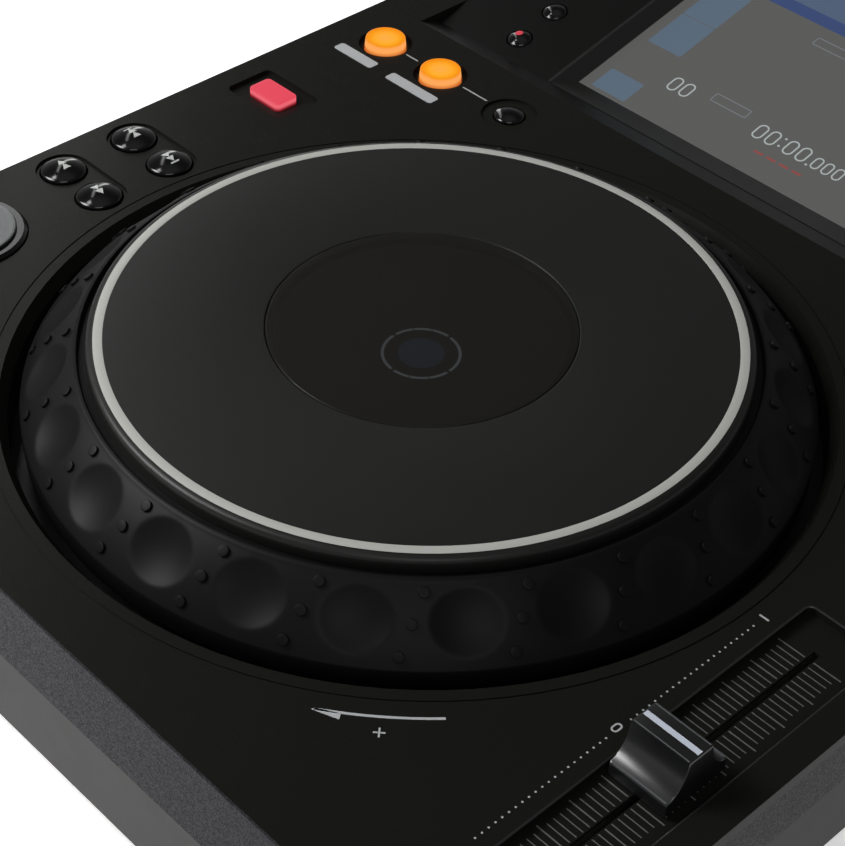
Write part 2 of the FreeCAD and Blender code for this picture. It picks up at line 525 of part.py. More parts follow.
def jog_base():
    rim = f"({HOLE} - sizes.hole_bevel)"
    outer = f"({rim} + sizes.well_wall)"
    low = "(-sizes.well_depth - sizes.well_floor)"
    pillar_top = "(sizes.display_rise - sizes.display_thickness)"
    dish = turned("deck", "0", "0", "0", [
        ("sizes.pillar_bore", low), (outer, low), (outer, UNDER), (rim, UNDER), (rim, WELL_TOP),
        ("sizes.pillar_radius", WELL_TOP), ("sizes.pillar_radius", pillar_top),
        ("sizes.pillar_bore", pillar_top)])
    reach = f"({outer} + sizes.lug_radius - sizes.well_wall / 2) * cos(45)"
    lugs = [rod("deck", f"{x}{reach}", f"{y}{reach}", f"{UNDER} - sizes.lug_rise", UNDER, "sizes.lug_radius")
            for x in ("-", "") for y in ("-", "")]
    inside = rod("deck", "0", "0", WELL_TOP, UNDER, rim)
    node("jog_base", fuse(dish, cut(fuse(*lugs), inside)))
    rise, plug = "sizes.display_rise", f"({pillar_top} - sizes.display_plug)"
    snug = "(sizes.pillar_bore - sizes.running_gap)"
    node("jog_display", turned("deck", "0", "0", "0", [
        ("0", plug), (snug, plug), (snug, pillar_top), ("sizes.display_radius", pillar_top),
        ("sizes.display_radius", rise), ("0", rise)]))
    half = "sizes.fork_width / 2"
    disc_low, disc_top = "(-sizes.hub_floor - sizes.encoder_sheet)", "(-sizes.hub_floor)"
    gap = "(sizes.fork_mouth - sizes.encoder_sheet) / 2"
    near = "(sizes.encoder_radius - sizes.fork_bite)"
    block = box("deck", near, "sizes.encoder_radius + sizes.fork_out", f"-{half}", half, WELL_TOP,
                f"{disc_top} + {gap} + sizes.fork_roof")
    mouth = box("deck", f"{near} - {OVER}", "sizes.encoder_radius + sizes.fork_clear", f"-{half} - {OVER}",
                f"{half} + {OVER}", f"{disc_low} - {gap}", f"{disc_top} + {gap}")
    node("jog_sensor", cut(block, mouth))


# Keys and knobs on the deck.

def deck_keys():
    for name, x, y, radius, proud, well in DECK_KEYS:
        round_key(name, "deck", x, y, radius, proud)
    for name, y in BIG_KEYS:
        rim = "(sizes.cue_radius - sizes.dome)"
        flange = "sizes.cue_radius + sizes.cue_flange"
        outline = [("0", STEM_LOW), ("sizes.stem_radius", STEM_LOW), ("sizes.stem_radius", FLANGE_LOW),
                   (flange, FLANGE_LOW), (flange, FLANGE_TOP), ("sizes.cue_radius", FLANGE_TOP),
                   ("sizes.cue_radius", "sizes.cue_proud - sizes.dome"), (rim, "sizes.cue_proud"),
                   ("0", "sizes.cue_proud")]
        node(f"{name}_button", turned("deck", LEFT, y, "0", outline))
        cap = [("0", "0"), ("sizes.cue_cap_radius", "0"),
               ("sizes.cue_cap_radius", "sizes.cue_cap_rise / 2",
                dome_radius("sizes.cue_cap_radius", "sizes.cue_cap_rise / 2")),
               ("0", "sizes.cue_cap_rise")]
        node(f"{name}_cap", turned("deck", LEFT, y, "sizes.cue_proud", cap))
    slab_key("direction_button", "deck", LEFT, DIRECTION_Y, "sizes.direction_width", "sizes.direction_depth",
             "sizes.direction_corner", "sizes.direction_proud")


def brake_knob():
    foot = "(sizes.knob_gap - sizes.brake_sink)"
    low = f"({BOARD_TOP} + sizes.pot_rise + sizes.knob_gap)"
    top = "sizes.brake_rise"
    waist = "(sizes.brake_radius - sizes.brake_taper)"
    outline = [("0", low), ("sizes.pot_shaft", low), ("sizes.pot_shaft", foot), ("sizes.brake_radius", foot),
               (waist, f"{top} - sizes.brake_round"), (f"{waist} - sizes.brake_round", top), ("0", top)]
    knob = turned("deck", RIGHT, LOOP_Y, "0", outline)
    line = box("deck", f"{RIGHT} - sizes.pointer_half", f"{RIGHT} + sizes.pointer_half",
               f"{LOOP_Y} + sizes.pointer_in", f"{LOOP_Y} + sizes.brake_radius",
               f"{top} - sizes.pointer_half", f"{top} + {OVER}")
    node("brake_knob", cut(knob, line))


def tempo_fader():
    floor = "(-sizes.fader_well_depth)"
    top, edge = "sizes.cap_rise", "sizes.cap_edge"
    x, y = RIGHT, FADER_Y
    foot = f"({floor} + sizes.cap_lift)"
    half = "sizes.cap_width / 2"
    centre_y, level = f"({JOG_Y} + {y})", DECK
    flank = [("sizes.cap_foot", foot), ("sizes.cap_foot", f"sizes.cap_shoulder - {edge}"),
             (f"sizes.cap_foot - {edge}", "sizes.cap_shoulder"),
             ("sizes.cap_top + sizes.cap_flare", "sizes.cap_shoulder + sizes.flare_rise"),
             ("sizes.cap_top + sizes.cap_neck", f"{top} - sizes.neck_drop"),
             ("sizes.cap_top", f"{top} - {edge}"), (f"sizes.cap_top - {edge}", top)]
    outline = [(f"{centre_y} + {across}", f"{level} + {up}") for across, up in flank]
    outline += [(f"{centre_y} - ({across})", f"{level} + {up}") for across, up in reversed(flank)]
    node("tempo_fader_cap", side_profile(f"{x} - {half}", f"{x} + {half}", outline))
    inside_top = f"({UNDER} - sizes.rail_wall)"
    inside_low = f"({UNDER} - sizes.rail_rise + sizes.rail_wall)"
    inside = "(sizes.rail_width / 2 - sizes.rail_wall)"
    side = f"({inside} - sizes.carriage_play)"
    middle = f"(({inside_top} + {inside_low}) / 2)"
    rise = f"(({inside_top} - {inside_low}) / 2 - sizes.carriage_play)"
    block = box("deck", f"{x} - {side}", f"{x} + {side}", f"{y} - sizes.carriage_depth / 2",
                f"{y} + sizes.carriage_depth / 2", f"{middle} - {rise}", f"{middle} + {rise}")
    lever = box("deck", f"{x} - sizes.lever_width / 2", f"{x} + sizes.lever_width / 2",
                f"{y} - sizes.lever_depth / 2", f"{y} + sizes.lever_depth / 2", middle, foot)
    node("tempo_fader_carriage", fuse(block, lever))
    reach = "(sizes.fader_stroke / 2 + sizes.rail_end)"
    run = "(sizes.fader_stroke / 2 + sizes.carriage_depth / 2 + sizes.slot_end)"
    housing = box("deck", f"{x} - sizes.rail_width / 2", f"{x} + sizes.rail_width / 2", f"{y} - {reach}",
                  f"{y} + {reach}", f"{UNDER} - sizes.rail_rise", UNDER)
    channel = box("deck", f"{x} - {inside}", f"{x} + {inside}", f"{y} - {run}", f"{y} + {run}", inside_low,
                  inside_top)
    slot = box("deck", f"{x} - sizes.slot_width / 2", f"{x} + sizes.slot_width / 2", f"{y} - {run}",
               f"{y} + {run}", inside_low, UNDER)
    node("tempo_fader_rail", cut(housing, channel, slot))


def panel_keys():
    for name, x, y in PANEL_KEYS:
        round_key(name, "panel", x, y, "sizes.small_radius", "sizes.small_proud")
    for name, x in BROWSE_KEYS:
        slab_key(name, "panel", x, BROWSE_Y, "sizes.browse_width", "sizes.browse_depth",
                 "sizes.browse_corner", "sizes.small_proud")


def selector():
    x, y = SELECTOR_X, SELECTOR_Y
    lift, rise, radius = "sizes.selector_lift", "sizes.selector_rise", "sizes.selector_radius"
    bore = "(sizes.selector_bore + sizes.running_gap)"
    roof = f"({rise} - sizes.selector_roof)"
    outline = [(bore, lift), (radius, lift), (radius, f"{rise} - sizes.knob_round", "sizes.knob_round"),
               (f"{radius} - sizes.knob_round", rise), ("0", rise), ("0", roof), (bore, roof)]
    node("selector_knob", turned("panel", x, y, "0", outline))
    seat = f"({SWITCH_TOP} + sizes.selector_travel + sizes.switch_gap)"
    node("selector_shaft", rod("panel", x, y, seat, f"{roof} - sizes.running_gap", "sizes.selector_bore"))


# The case.

def deck_panel():
    top_front = f"({FRONT} + sizes.front_flare + sizes.front_rim)"
    plate = box("table", f"-{SIDE}", SIDE, top_front, REAR, f"{DECK} - sizes.deck_plate", DECK)
    behind = box("table", f"-{PANEL_HALF}", PANEL_HALF, f"{JOG_Y} + {TROUGH_Y}", f"{REAR} + {OVER}",
                 f"{DECK} - sizes.deck_plate - {OVER}", f"{DECK} + {OVER}")
    hole = cone("deck", "0", "0", UNDER, "0", f"{HOLE} - sizes.hole_bevel", HOLE)
    line = cut(rod("deck", "0", "0", "-sizes.groove_depth", OVER, f"{COLLAR} + sizes.groove_width / 2"),
               rod("deck", "0", "0", f"-{OVER}", f"2 * {OVER}", f"{COLLAR} - sizes.groove_width / 2"))
    tools = [behind, hole, line]
    for _, x, y, radius, _, well in DECK_KEYS:
        tools.append(rod("deck", x, y, CUT_LOW, OVER, f"{radius} + sizes.key_play"))
        if well:
            tools.append(rod("deck", x, y, f"-{well[1]}", OVER, well[0]))
    for y in (TRACK_Y, SEARCH_Y):
        tools.append(slab("deck", LEFT, y, "-sizes.dish_depth", OVER,
                          "sizes.key_pitch + 2 * sizes.search_dish",
                          "2 * sizes.search_dish", "sizes.search_dish - sizes.seat_gap"))
    for _, y in BIG_KEYS:
        tools.append(rod("deck", LEFT, y, CUT_LOW, OVER, "sizes.cue_radius + sizes.key_play"))
    tools.append(slab("deck", LEFT, DIRECTION_Y, CUT_LOW, OVER, "sizes.direction_width + 2 * sizes.key_play",
                      "sizes.direction_depth + 2 * sizes.key_play", "sizes.direction_corner"))
    tools.append(slab("deck", LEFT, DIRECTION_Y, "-sizes.well_sink", OVER,
                      "sizes.direction_width + 2 * sizes.direction_side",
                      "sizes.direction_depth + 2 * sizes.direction_end", "sizes.direction_corner"))
    tools.append(rod("deck", RIGHT, LOOP_Y, "-sizes.brake_sink", OVER,
                     "sizes.brake_radius + sizes.knob_play"))
    tools.append(rod("deck", RIGHT, LOOP_Y, CUT_LOW, OVER, "sizes.pot_shaft + sizes.knob_play"))
    tools.append(slab("deck", f"{RIGHT} + (sizes.fader_well_right - sizes.fader_well_left) / 2", FADER_Y,
                      "-sizes.fader_well_depth", OVER, "sizes.fader_well_left + sizes.fader_well_right",
                      "2 * sizes.fader_well_end", "sizes.fader_well_corner"))
    run = "(sizes.fader_stroke / 2 + sizes.lever_depth / 2 + sizes.slot_end)"
    tools.append(box("deck", f"{RIGHT} - sizes.slot_width / 2", f"{RIGHT} + sizes.slot_width / 2",
                     f"{FADER_Y} - {run}", f"{FADER_Y} + {run}", CUT_LOW, OVER))
    pieces = [cut(plate, *tools)]
    for x, y in posts():
        post = rod("table", x, y, SPLIT, f"{DECK} - sizes.deck_plate", "sizes.post_radius")
        pilot = rod("table", x, y, f"{SPLIT} - {OVER}", f"{SPLIT} + sizes.thread_grip + sizes.pilot_end",
                    "sizes.screw_radius + sizes.running_gap")
        pieces.append(cut(post, pilot))
    pieces += [rod("deck", x, y, BOARD_TOP, UNDER, "sizes.boss_radius") for x, y in bosses()]
    node("deck_panel", fuse(*pieces))


def control_panel():
    slope = "tan(sizes.panel_tilt)"
    crest_y = f"({REAR} - sizes.panel_top_back)"
    crest_z = f"({DECK} + ({crest_y} - {CROSS_Y}) * {slope})"
    start = f"({JOG_Y} + {TROUGH_Y})"
    turn_y = f"({start} + sizes.trough_length)"
    turn_z = f"({DECK} + (sizes.trough_length - sizes.cross_step) * {slope})"
    low = f"({DECK} - sizes.deck_plate)"
    wall = "sizes.panel_wall"
    over = [(start, DECK), (turn_y, turn_z), (crest_y, crest_z), (REAR, f"{crest_z} - sizes.panel_bevel"),
            (REAR, low)]
    drop = f"({wall} / cos(sizes.panel_tilt))"
    lag = f"({wall} / 2)"
    under = [(start, low), (f"{turn_y} - {lag}", f"{turn_z} - {lag} * {slope} - {drop}"),
             (f"{crest_y} - {lag}", f"{crest_z} - {lag} * {slope} - {drop}"),
             (f"{REAR} - {wall}", f"{crest_z} - sizes.panel_bevel - {lag}"), (f"{REAR} - {wall}", low)]
    shell = side_profile(f"-{PANEL_HALF}", PANEL_HALF, under + over[::-1])
    cheeks = []
    for x0, x1 in ((f"-{PANEL_HALF}", f"-{PANEL_HALF} + {wall}"), (f"{PANEL_HALF} - {wall}", PANEL_HALF)):
        cheeks.append(side_profile(x0, x1, [(REAR, low), (REAR, f"{crest_z} - sizes.panel_bevel"),
                                            (crest_y, crest_z), (turn_y, turn_z), (turn_y, low)]))
    deep = f"({PANEL_SKIN} - sizes.panel_room)"
    tools = [box("panel", f"-{BEZEL_HALF}", BEZEL_HALF, "sizes.bezel_low", BEZEL_HIGH, deep, OVER)]
    for _, x, y in PANEL_KEYS:
        tools.append(rod("panel", x, y, deep, OVER, "sizes.small_radius + sizes.key_play"))
    for _, x in BROWSE_KEYS:
        tools.append(slab("panel", x, BROWSE_Y, deep, OVER, "sizes.browse_width + 2 * sizes.key_play",
                          "sizes.browse_depth + 2 * sizes.key_play", "sizes.browse_corner"))
    tools.append(rod("panel", SELECTOR_X, SELECTOR_Y, deep, OVER, "sizes.bush_radius"))
    half_w, half_l = "(sizes.usb_width / 2 + sizes.usb_wall)", "(sizes.usb_length / 2 + sizes.usb_wall)"
    tools.append(box("panel", f"{USB_X} - {half_w}", f"{USB_X} + {half_w}", f"{USB_Y} - {half_l}",
                     f"{USB_Y} + {half_l}", deep, OVER))
    node("control_panel", cut(fuse(shell, *cheeks), *tools))


def screen():
    rim, low = "sizes.bezel_rim", "sizes.bezel_low"
    seat = "(-sizes.screen_sink)"
    wide = f"({BEZEL_HALF} + sizes.bezel_flange)"
    frame = box("panel", f"-{BEZEL_HALF}", BEZEL_HALF, low, BEZEL_HIGH, seat, "0")
    flange = box("panel", f"-{wide}", wide, f"{low} - sizes.bezel_lip", f"{BEZEL_HIGH} + sizes.bezel_lip",
                 seat, PANEL_SKIN)
    mouth = f"({BEZEL_HALF} - {rim})"
    funnel = frustum("panel", (f"-{SCREEN_HALF}", SCREEN_HALF, "sizes.screen_low", SCREEN_HIGH),
                     (f"-{mouth}", mouth, low, f"{BEZEL_HIGH} - {rim}"), seat, "0")
    node("screen_bezel", cut(fuse(frame, flange), funnel))
    glass_low = f"({seat} - sizes.glass_sheet)"
    node("touch_glass", box("panel", f"-{BEZEL_HALF}", BEZEL_HALF, f"{low} + sizes.glass_back", BEZEL_HIGH,
                            glass_low, seat))
    inner = f"({BEZEL_HALF} - sizes.lcd_in)"
    node("lcd_module", box("panel", f"-{inner}", inner, "sizes.screen_low - sizes.lcd_in",
                           f"{SCREEN_HIGH} + sizes.lcd_in", f"{glass_low} - sizes.lcd_depth", glass_low))


def upper_case():
    top = f"({FRONT} + sizes.front_flare)"
    wall = "sizes.shell_wall"
    outer = frustum("table", (f"-{SIDE}", SIDE, FRONT, REAR), (f"-{SIDE}", SIDE, top, REAR), SPLIT, DECK)
    within, back = f"({SIDE} - {wall})", f"{REAR} - {wall}"
    inner = frustum("table", (f"-{within}", within, f"{FRONT} + {wall}", back),
                    (f"-{within}", within, f"{top} + {wall}", back), SPLIT, DECK)
    wide = f"({SIDE} + {OVER})"
    room = box("table", f"-{wide}", wide, f"{top} + sizes.front_rim", f"{REAR} + {OVER}",
               f"{DECK} - sizes.deck_plate", f"{DECK} + {OVER}")
    sill = box("table", f"-{SIDE}", SIDE, f"{LOWER_REAR} - sizes.lower_wall", REAR, SPLIT,
               f"{SPLIT} + {wall}")
    node("upper_case", fuse(cut(outer, inner, room), sill))


def lower_case():
    wall, reveal = "sizes.lower_wall", "sizes.lower_reveal"
    upper, foot = f"({SIDE} - {reveal})", f"({SIDE} - {reveal} - sizes.lower_taper)"
    high = (f"-{upper}", upper, f"({FRONT} + {reveal})", LOWER_REAR)
    low = (f"-{foot}", foot, f"({FRONT} + {reveal} + sizes.lower_taper)", LOWER_REAR)
    inset = [f"{text} + {sign}{wall}" for text, sign in zip(high, "+-+-")]
    inset_low = [f"{text} + {sign}{wall}" for text, sign in zip(low, "+-+-")]
    outer = frustum("table", low, high, FLOOR, SPLIT)
    inner = frustum("table", inset_low, inset, f"{FLOOR} + sizes.floor_plate", SPLIT)
    groove_z = f"({SPLIT} - sizes.seam_rise)"
    wide, core = f"({SIDE} + {OVER})", f"({upper} - sizes.seam_depth)"
    groove = cut(box("table", f"-{wide}", wide, f"{FRONT} - {OVER}", LOWER_REAR, groove_z, SPLIT),
                 box("table", f"-{core}", core, f"{FRONT} + {reveal} + sizes.seam_depth",
                     f"{LOWER_REAR} + {OVER}", f"{groove_z} - {OVER}", f"{SPLIT} + {OVER}"))
    half = f"({SIDE} - sizes.jack_plate_inset)"
    window = box("table", f"-{half}", half, f"{LOWER_REAR} - 2 * {wall}", f"{LOWER_REAR} + {OVER}",
                 f"{FLOOR} + sizes.jack_plate_low", f"{FLOOR} + sizes.jack_plate_high")
    pieces = [cut(outer, inner, groove, window)]
    top = f"({FLOOR} + sizes.floor_plate)"
    bores = []
    for x, y in posts():
        pieces.append(rod("table", x, y, FLOOR, SPLIT, "sizes.post_radius"))
        bores.append(rod("table", x, y, f"{FLOOR} - {OVER}", f"{SPLIT} + {OVER}",
                         "sizes.screw_radius + sizes.screw_play"))
        bores.append(rod("table", x, y, f"{FLOOR} - {OVER}",
                         f"{FLOOR} + sizes.head_rise + sizes.running_gap",
                         "sizes.screw_head + sizes.screw_play"))
    for x, y in feet_places():
        bores.append(rod("table", x, y, f"{FLOOR} - {OVER}",
                         f"{FLOOR} + sizes.foot_pin_rise + sizes.running_gap",
                         "sizes.foot_pin + sizes.running_gap"))
    for x, y in standoffs():
        pieces.append(rod("table", x, y, FLOOR, f"{top} + sizes.main_lift", "sizes.standoff_radius"))
    node("lower_case", cut(fuse(*pieces), *bores))


def board_rooms():
    """The rectangles of the main and the supply board, x0, x1, y0, y1 in the table's axes."""
    supply_left = f"({SIDE} - sizes.supply_reach)"
    return [(f"(sizes.main_inset - {SIDE})", f"({supply_left} - sizes.boards_gap)",
             f"({FRONT} + sizes.main_front)", f"({REAR} - sizes.main_back)"),
            (supply_left, f"({SIDE} - sizes.supply_inset)", f"({REAR} - sizes.supply_front)",
             f"({REAR} - sizes.supply_back)")]


def standoffs():
    """A standoff under each corner of both boards."""
    inward = "sizes.standoff_in"
    return [(f"{x} {sign_x} {inward}", f"{y} {sign_y} {inward}") for x0, x1, y0, y1 in board_rooms()
            for x, sign_x in ((x0, "+"), (x1, "-")) for y, sign_y in ((y0, "+"), (y1, "-"))]


def screws_and_feet():
    screws = []
    for x, y in posts():
        head = rod("table", x, y, FLOOR, f"{FLOOR} + sizes.head_rise", "sizes.screw_head")
        shank = rod("table", x, y, FLOOR, f"{SPLIT} + sizes.thread_grip", "sizes.screw_radius")
        screws.append(fuse(head, shank))
    node("case_screws", fuse(*screws))
    feet = []
    for x, y in feet_places():
        feet.append(cone("table", x, y, "0", FLOOR, "sizes.foot_toe", "sizes.foot_radius"))
        feet.append(rod("table", x, y, FLOOR, f"{FLOOR} + sizes.foot_pin_rise", "sizes.foot_pin"))
    node("feet", fuse(*feet))


# Inside: boards, ports and the supply.

def inner_boards():
    edge, half = "sizes.board_edge", "sizes.pot_side / 2"
    keys = [(x, y) for _, x, y, *_ in DECK_KEYS]
    left = keys[:4] + [(LEFT, y) for _, y in BIG_KEYS] + [(LEFT, DIRECTION_Y)]
    side = "(sizes.key_pitch / 2 + sizes.switch_side)"
    node("left_switch_board", board("deck", [(f"{LEFT} - {side}", f"{LEFT} + {side}", f"{PLAY_Y} - {edge}",
                                              f"{DIRECTION_Y} + {edge}")], left))
    row = (f"{LOOP_Y} - {edge}", f"{LOOP_Y} + {edge}")
    node("loop_switch_board", board("deck", [(f"{LEFT} - {edge}", f"{RELOOP_X} + {edge}", *row)], keys[4:7]))
    pot = box("deck", f"{RIGHT} - {half}", f"{RIGHT} + {half}", f"{LOOP_Y} - {half}", f"{LOOP_Y} + {half}",
              BOARD_TOP, f"{BOARD_TOP} + sizes.pot_rise")
    arms = [(f"{CALL_X} - {edge}", f"{RIGHT} + {edge}", *row),
            (f"{RIGHT} - {edge}", f"{RIGHT} + {edge}", f"{MASTER_Y} - {edge}", row[1])]
    node("right_switch_board", board("deck", arms, keys[7:], pot))
    wing = f"({BEZEL_HALF} + sizes.bezel_flange + sizes.board_clear)"
    outer = f"({PANEL_HALF} - sizes.panel_wall - sizes.board_clear)"
    back = f"({BROWSE_Y} + sizes.browse_edge)"
    blocks = [(f"-{outer}", f"-{wing}", "sizes.quantize_y - sizes.panel_edge", back),
              (wing, outer, f"{BACK_Y} - sizes.panel_edge", back),
              (f"-{outer}", outer, f"({BEZEL_HIGH} + sizes.bezel_lip + sizes.board_clear / 2)", back)]
    places = [(x, y) for _, x, y in PANEL_KEYS] + [(x, BROWSE_Y) for _, x in BROWSE_KEYS]
    bush = cut(rod("panel", SELECTOR_X, SELECTOR_Y, SWITCH_TOP, "-sizes.key_play",
                   "sizes.bush_radius - sizes.knob_gap"),
               rod("panel", SELECTOR_X, SELECTOR_Y, f"{SWITCH_TOP} - {OVER}", OVER,
                   "sizes.selector_bore + sizes.running_gap"))
    encoder = box("panel", f"{SELECTOR_X} - {half}", f"{SELECTOR_X} + {half}", f"{SELECTOR_Y} - {half}",
                  f"{SELECTOR_Y} + {half}", BOARD_TOP, SWITCH_TOP)
    node("panel_switch_board", board("panel", blocks, places, bush, encoder))


def main_boards():
    base = f"({FLOOR} + sizes.floor_plate + sizes.main_lift)"
    top = f"({base} + sizes.main_sheet)"
    main, supply = [box("table", *room, base, top) for room in board_rooms()]
    half = "sizes.chip_side / 2"
    spots = [("-sizes.chip_left", "sizes.chip_back"), ("-sizes.chip_middle", "sizes.chip_back"),
             ("-sizes.chip_left", "-sizes.chip_front")]
    chips = [box("table", f"{x} - {half}", f"{x} + {half}", f"{y} - {half}", f"{y} + {half}", top,
                 f"{top} + sizes.chip_rise") for x, y in spots]
    node("main_board", fuse(main, *chips))
    x0, x1, y0, y1 = board_rooms()[1]
    x, y = f"(({x0} + {x1}) / 2)", f"(({y0} + {y1}) / 2)"
    half = "sizes.coil_side / 2"
    coil = box("table", f"{x} - {half}", f"{x} + {half}", f"{y} - {half}", f"{y} + {half}", top,
               f"{top} + sizes.coil_rise")
    tanks = [rod("table", f"{x} {sign} sizes.tank_pitch", f"{y} - sizes.tank_front", top,
                 f"{top} + sizes.tank_rise", "sizes.tank_radius") for sign in ("-", "+")]
    node("power_board", fuse(supply, coil, *tanks))


def usb_port():
    x, y = USB_X, USB_Y
    half_w, half_l = "(sizes.usb_width / 2)", "(sizes.usb_length / 2)"
    wall = "sizes.usb_wall"
    shell = box("panel", f"{x} - {half_w} - {wall}", f"{x} + {half_w} + {wall}", f"{y} - {half_l} - {wall}",
                f"{y} + {half_l} + {wall}", BOARD_TOP, "0")
    mouth = box("panel", f"{x} - {half_w}", f"{x} + {half_w}", f"{y} - {half_l}", f"{y} + {half_l}",
                f"{BOARD_TOP} + sizes.usb_back", OVER)
    node("usb_port", cut(shell, mouth))


def rear_ports():
    level = f"({FLOOR} + sizes.jack_level)"
    face = f"({LOWER_REAR} - sizes.lower_wall)"
    inner = f"({face} - sizes.jack_sheet)"
    frame = "sizes.jack_frame"
    wide = f"({SIDE} - sizes.jack_plate_inset + {frame})"
    sheet = box("table", f"-{wide}", wide, inner, face, f"{FLOOR} + sizes.jack_plate_low - {frame} / 2",
                f"{FLOOR} + sizes.jack_plate_high + {frame}")
    holes = []

    def port(x, width, height, depth):
        """A socket: a rectangular mouth in a body that reaches in from the plate's face."""
        wall = "sizes.port_wall"
        low, high = f"({level} - {height} / 2)", f"({level} + {height} / 2)"
        left, right = f"({x} - {width} / 2)", f"({x} + {width} / 2)"
        outside = box("table", f"{left} - {wall}", f"{right} + {wall}", f"{face} - {depth} - {wall}", face,
                      f"{low} - {wall}", f"{high} + {wall}")
        mouth = box("table", left, right, f"{face} - {depth}", f"{face} + {OVER}", low, high)
        holes.append(box("table", f"{left} - {wall}", f"{right} + {wall}", f"{inner} - {OVER}",
                         f"{face} + {OVER}", f"{low} - {wall}", f"{high} + {wall}"))
        return cut(outside, mouth)

    def barrel_jack(x):
        """A phono socket: a body behind the plate, a collar and the barrel that a plug slides on."""
        collar = "sizes.barrel_radius + sizes.collar_over"
        tip = f"{face} + sizes.barrel_length"
        body = back_rod(x, f"{face} - sizes.jack_body", face, level, collar)
        ring = back_rod(x, face, f"{face} + sizes.collar_rise", level, collar)
        barrel = back_rod(x, face, tip, level, "sizes.barrel_radius")
        bore = back_rod(x, f"{face} - sizes.barrel_back", f"{tip} + {OVER}", level, "sizes.barrel_bore")
        holes.append(back_rod(x, f"{inner} - {OVER}", f"{face} + {OVER}", level, collar))
        return cut(fuse(body, ring, barrel), bore)

    node("audio_jacks", fuse(barrel_jack("sizes.audio_x"), barrel_jack("sizes.audio_x + sizes.audio_pitch")))
    digital = barrel_jack("sizes.digital_x")
    lan = port("sizes.lan_x", "sizes.lan_width", "sizes.lan_height", "sizes.lan_depth")
    type_b = port("sizes.type_b_x", "sizes.type_b_width", "sizes.type_b_height", "sizes.lan_depth")
    node("data_jacks", fuse(digital, lan, type_b))
    inlet = port("sizes.inlet_x", "sizes.inlet_width", "sizes.inlet_height", "sizes.inlet_depth")
    pins = []
    bottom = f"{face} - sizes.inlet_depth"
    half_w, half_h = "sizes.pin_width / 2", "sizes.pin_height / 2"
    for across, side in (("-sizes.pin_pitch", "-"), ("sizes.pin_pitch", "-"), ("0", "+")):
        x, z = f"sizes.inlet_x + {across}", f"{level} {side} sizes.pin_step / 2"
        pins.append(box("table", f"{x} - {half_w}", f"{x} + {half_w}", bottom,
                        f"{bottom} + sizes.pin_length", f"{z} - {half_h}", f"{z} + {half_h}"))
    width = "(sizes.rocker_width + 2 * sizes.rocker_play)"
    height = "(sizes.rocker_height + 2 * sizes.rocker_play + sizes.rocker_swing)"
    house = port("sizes.rocker_x", width, height, "sizes.rocker_house")
    pivot = f"({face} - sizes.rocker_depth / 2)"
    axle = doc.addObject("Part::Cylinder", "axle")
    tie(axle, Radius="sizes.rocker_axle", Height=width)
    axle.Placement = FreeCAD.Placement(FreeCAD.Vector(), FreeCAD.Rotation(FreeCAD.Vector(0, 1, 0), 90))
    tie(axle, Placement__Base__x=f"sizes.rocker_x - {width} / 2", Placement__Base__y=pivot,
        Placement__Base__z=level)
    node("power_inlet", fuse(inlet, *pins, house, axle))
    node("jack_plate", cut(sheet, *holes))
    block = doc.addObject("Part::Box", "rocker")
    tie(block, Length="sizes.rocker_width", Width="sizes.rocker_depth", Height="sizes.rocker_height")
    lean = "sizes.rocker_lean"
    shift_y = f"sizes.rocker_depth / 2 * cos({lean}) - sizes.rocker_height / 2 * sin({lean})"
    shift_z = f"sizes.rocker_depth / 2 * sin({lean}) + sizes.rocker_height / 2 * cos({lean})"
    put(block, "table", "sizes.rocker_x - sizes.rocker_width / 2", f"{pivot} - ({shift_y})",
        f"{level} - ({shift_z})", lean)
    hole = doc.addObject("Part::Cylinder", "bore")
    tie(hole, Radius="sizes.rocker_axle + sizes.running_gap", Height=f"{width} + 2 * {OVER}")
    hole.Placement = axle.Placement
    tie(hole, Placement__Base__x=f"sizes.rocker_x - {width} / 2 - {OVER}", Placement__Base__y=pivot,
        Placement__Base__z=level)
    node("power_rocker", cut(block, hole))


def main():
    for build in (jog_dial, jog_plate, jog_hub, encoder_disc, jog_base, deck_keys, brake_knob, tempo_fader,
                  panel_keys, selector, deck_panel, control_panel, screen, upper_case, lower_case,
                  screws_and_feet, inner_boards, main_boards, usb_port, rear_ports):
        build()
    doc.recompute()
    bad = [f"{thing.Name} {thing.Label} {thing.State}" for thing in doc.Objects
           if "Invalid" in thing.State or "Error" in thing.State]
    for thing in NODES:
        if thing.Shape.isNull() or not thing.Shape.isValid() or not thing.Shape.Solids:
            bad.append(f"{thing.Label} has no sound shape")
    if bad:
        raise SystemExit("\n".join(bad))
    os.makedirs("parts", exist_ok=True)
    for thing in NODES:
        thing.Shape.exportStep(f"parts/{thing.Label}.step")
    print(len(NODES), "nodes written")


main()
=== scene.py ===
"""Looks of a tabletop disc player: one operator for each piece or group of like pieces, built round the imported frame.

Shapes are numpy grids in millimetres. Deck pieces are written from the dial's centre at the deck's top face,
and control panel pieces from the middle of the fold, along the slope and away from it.
"""

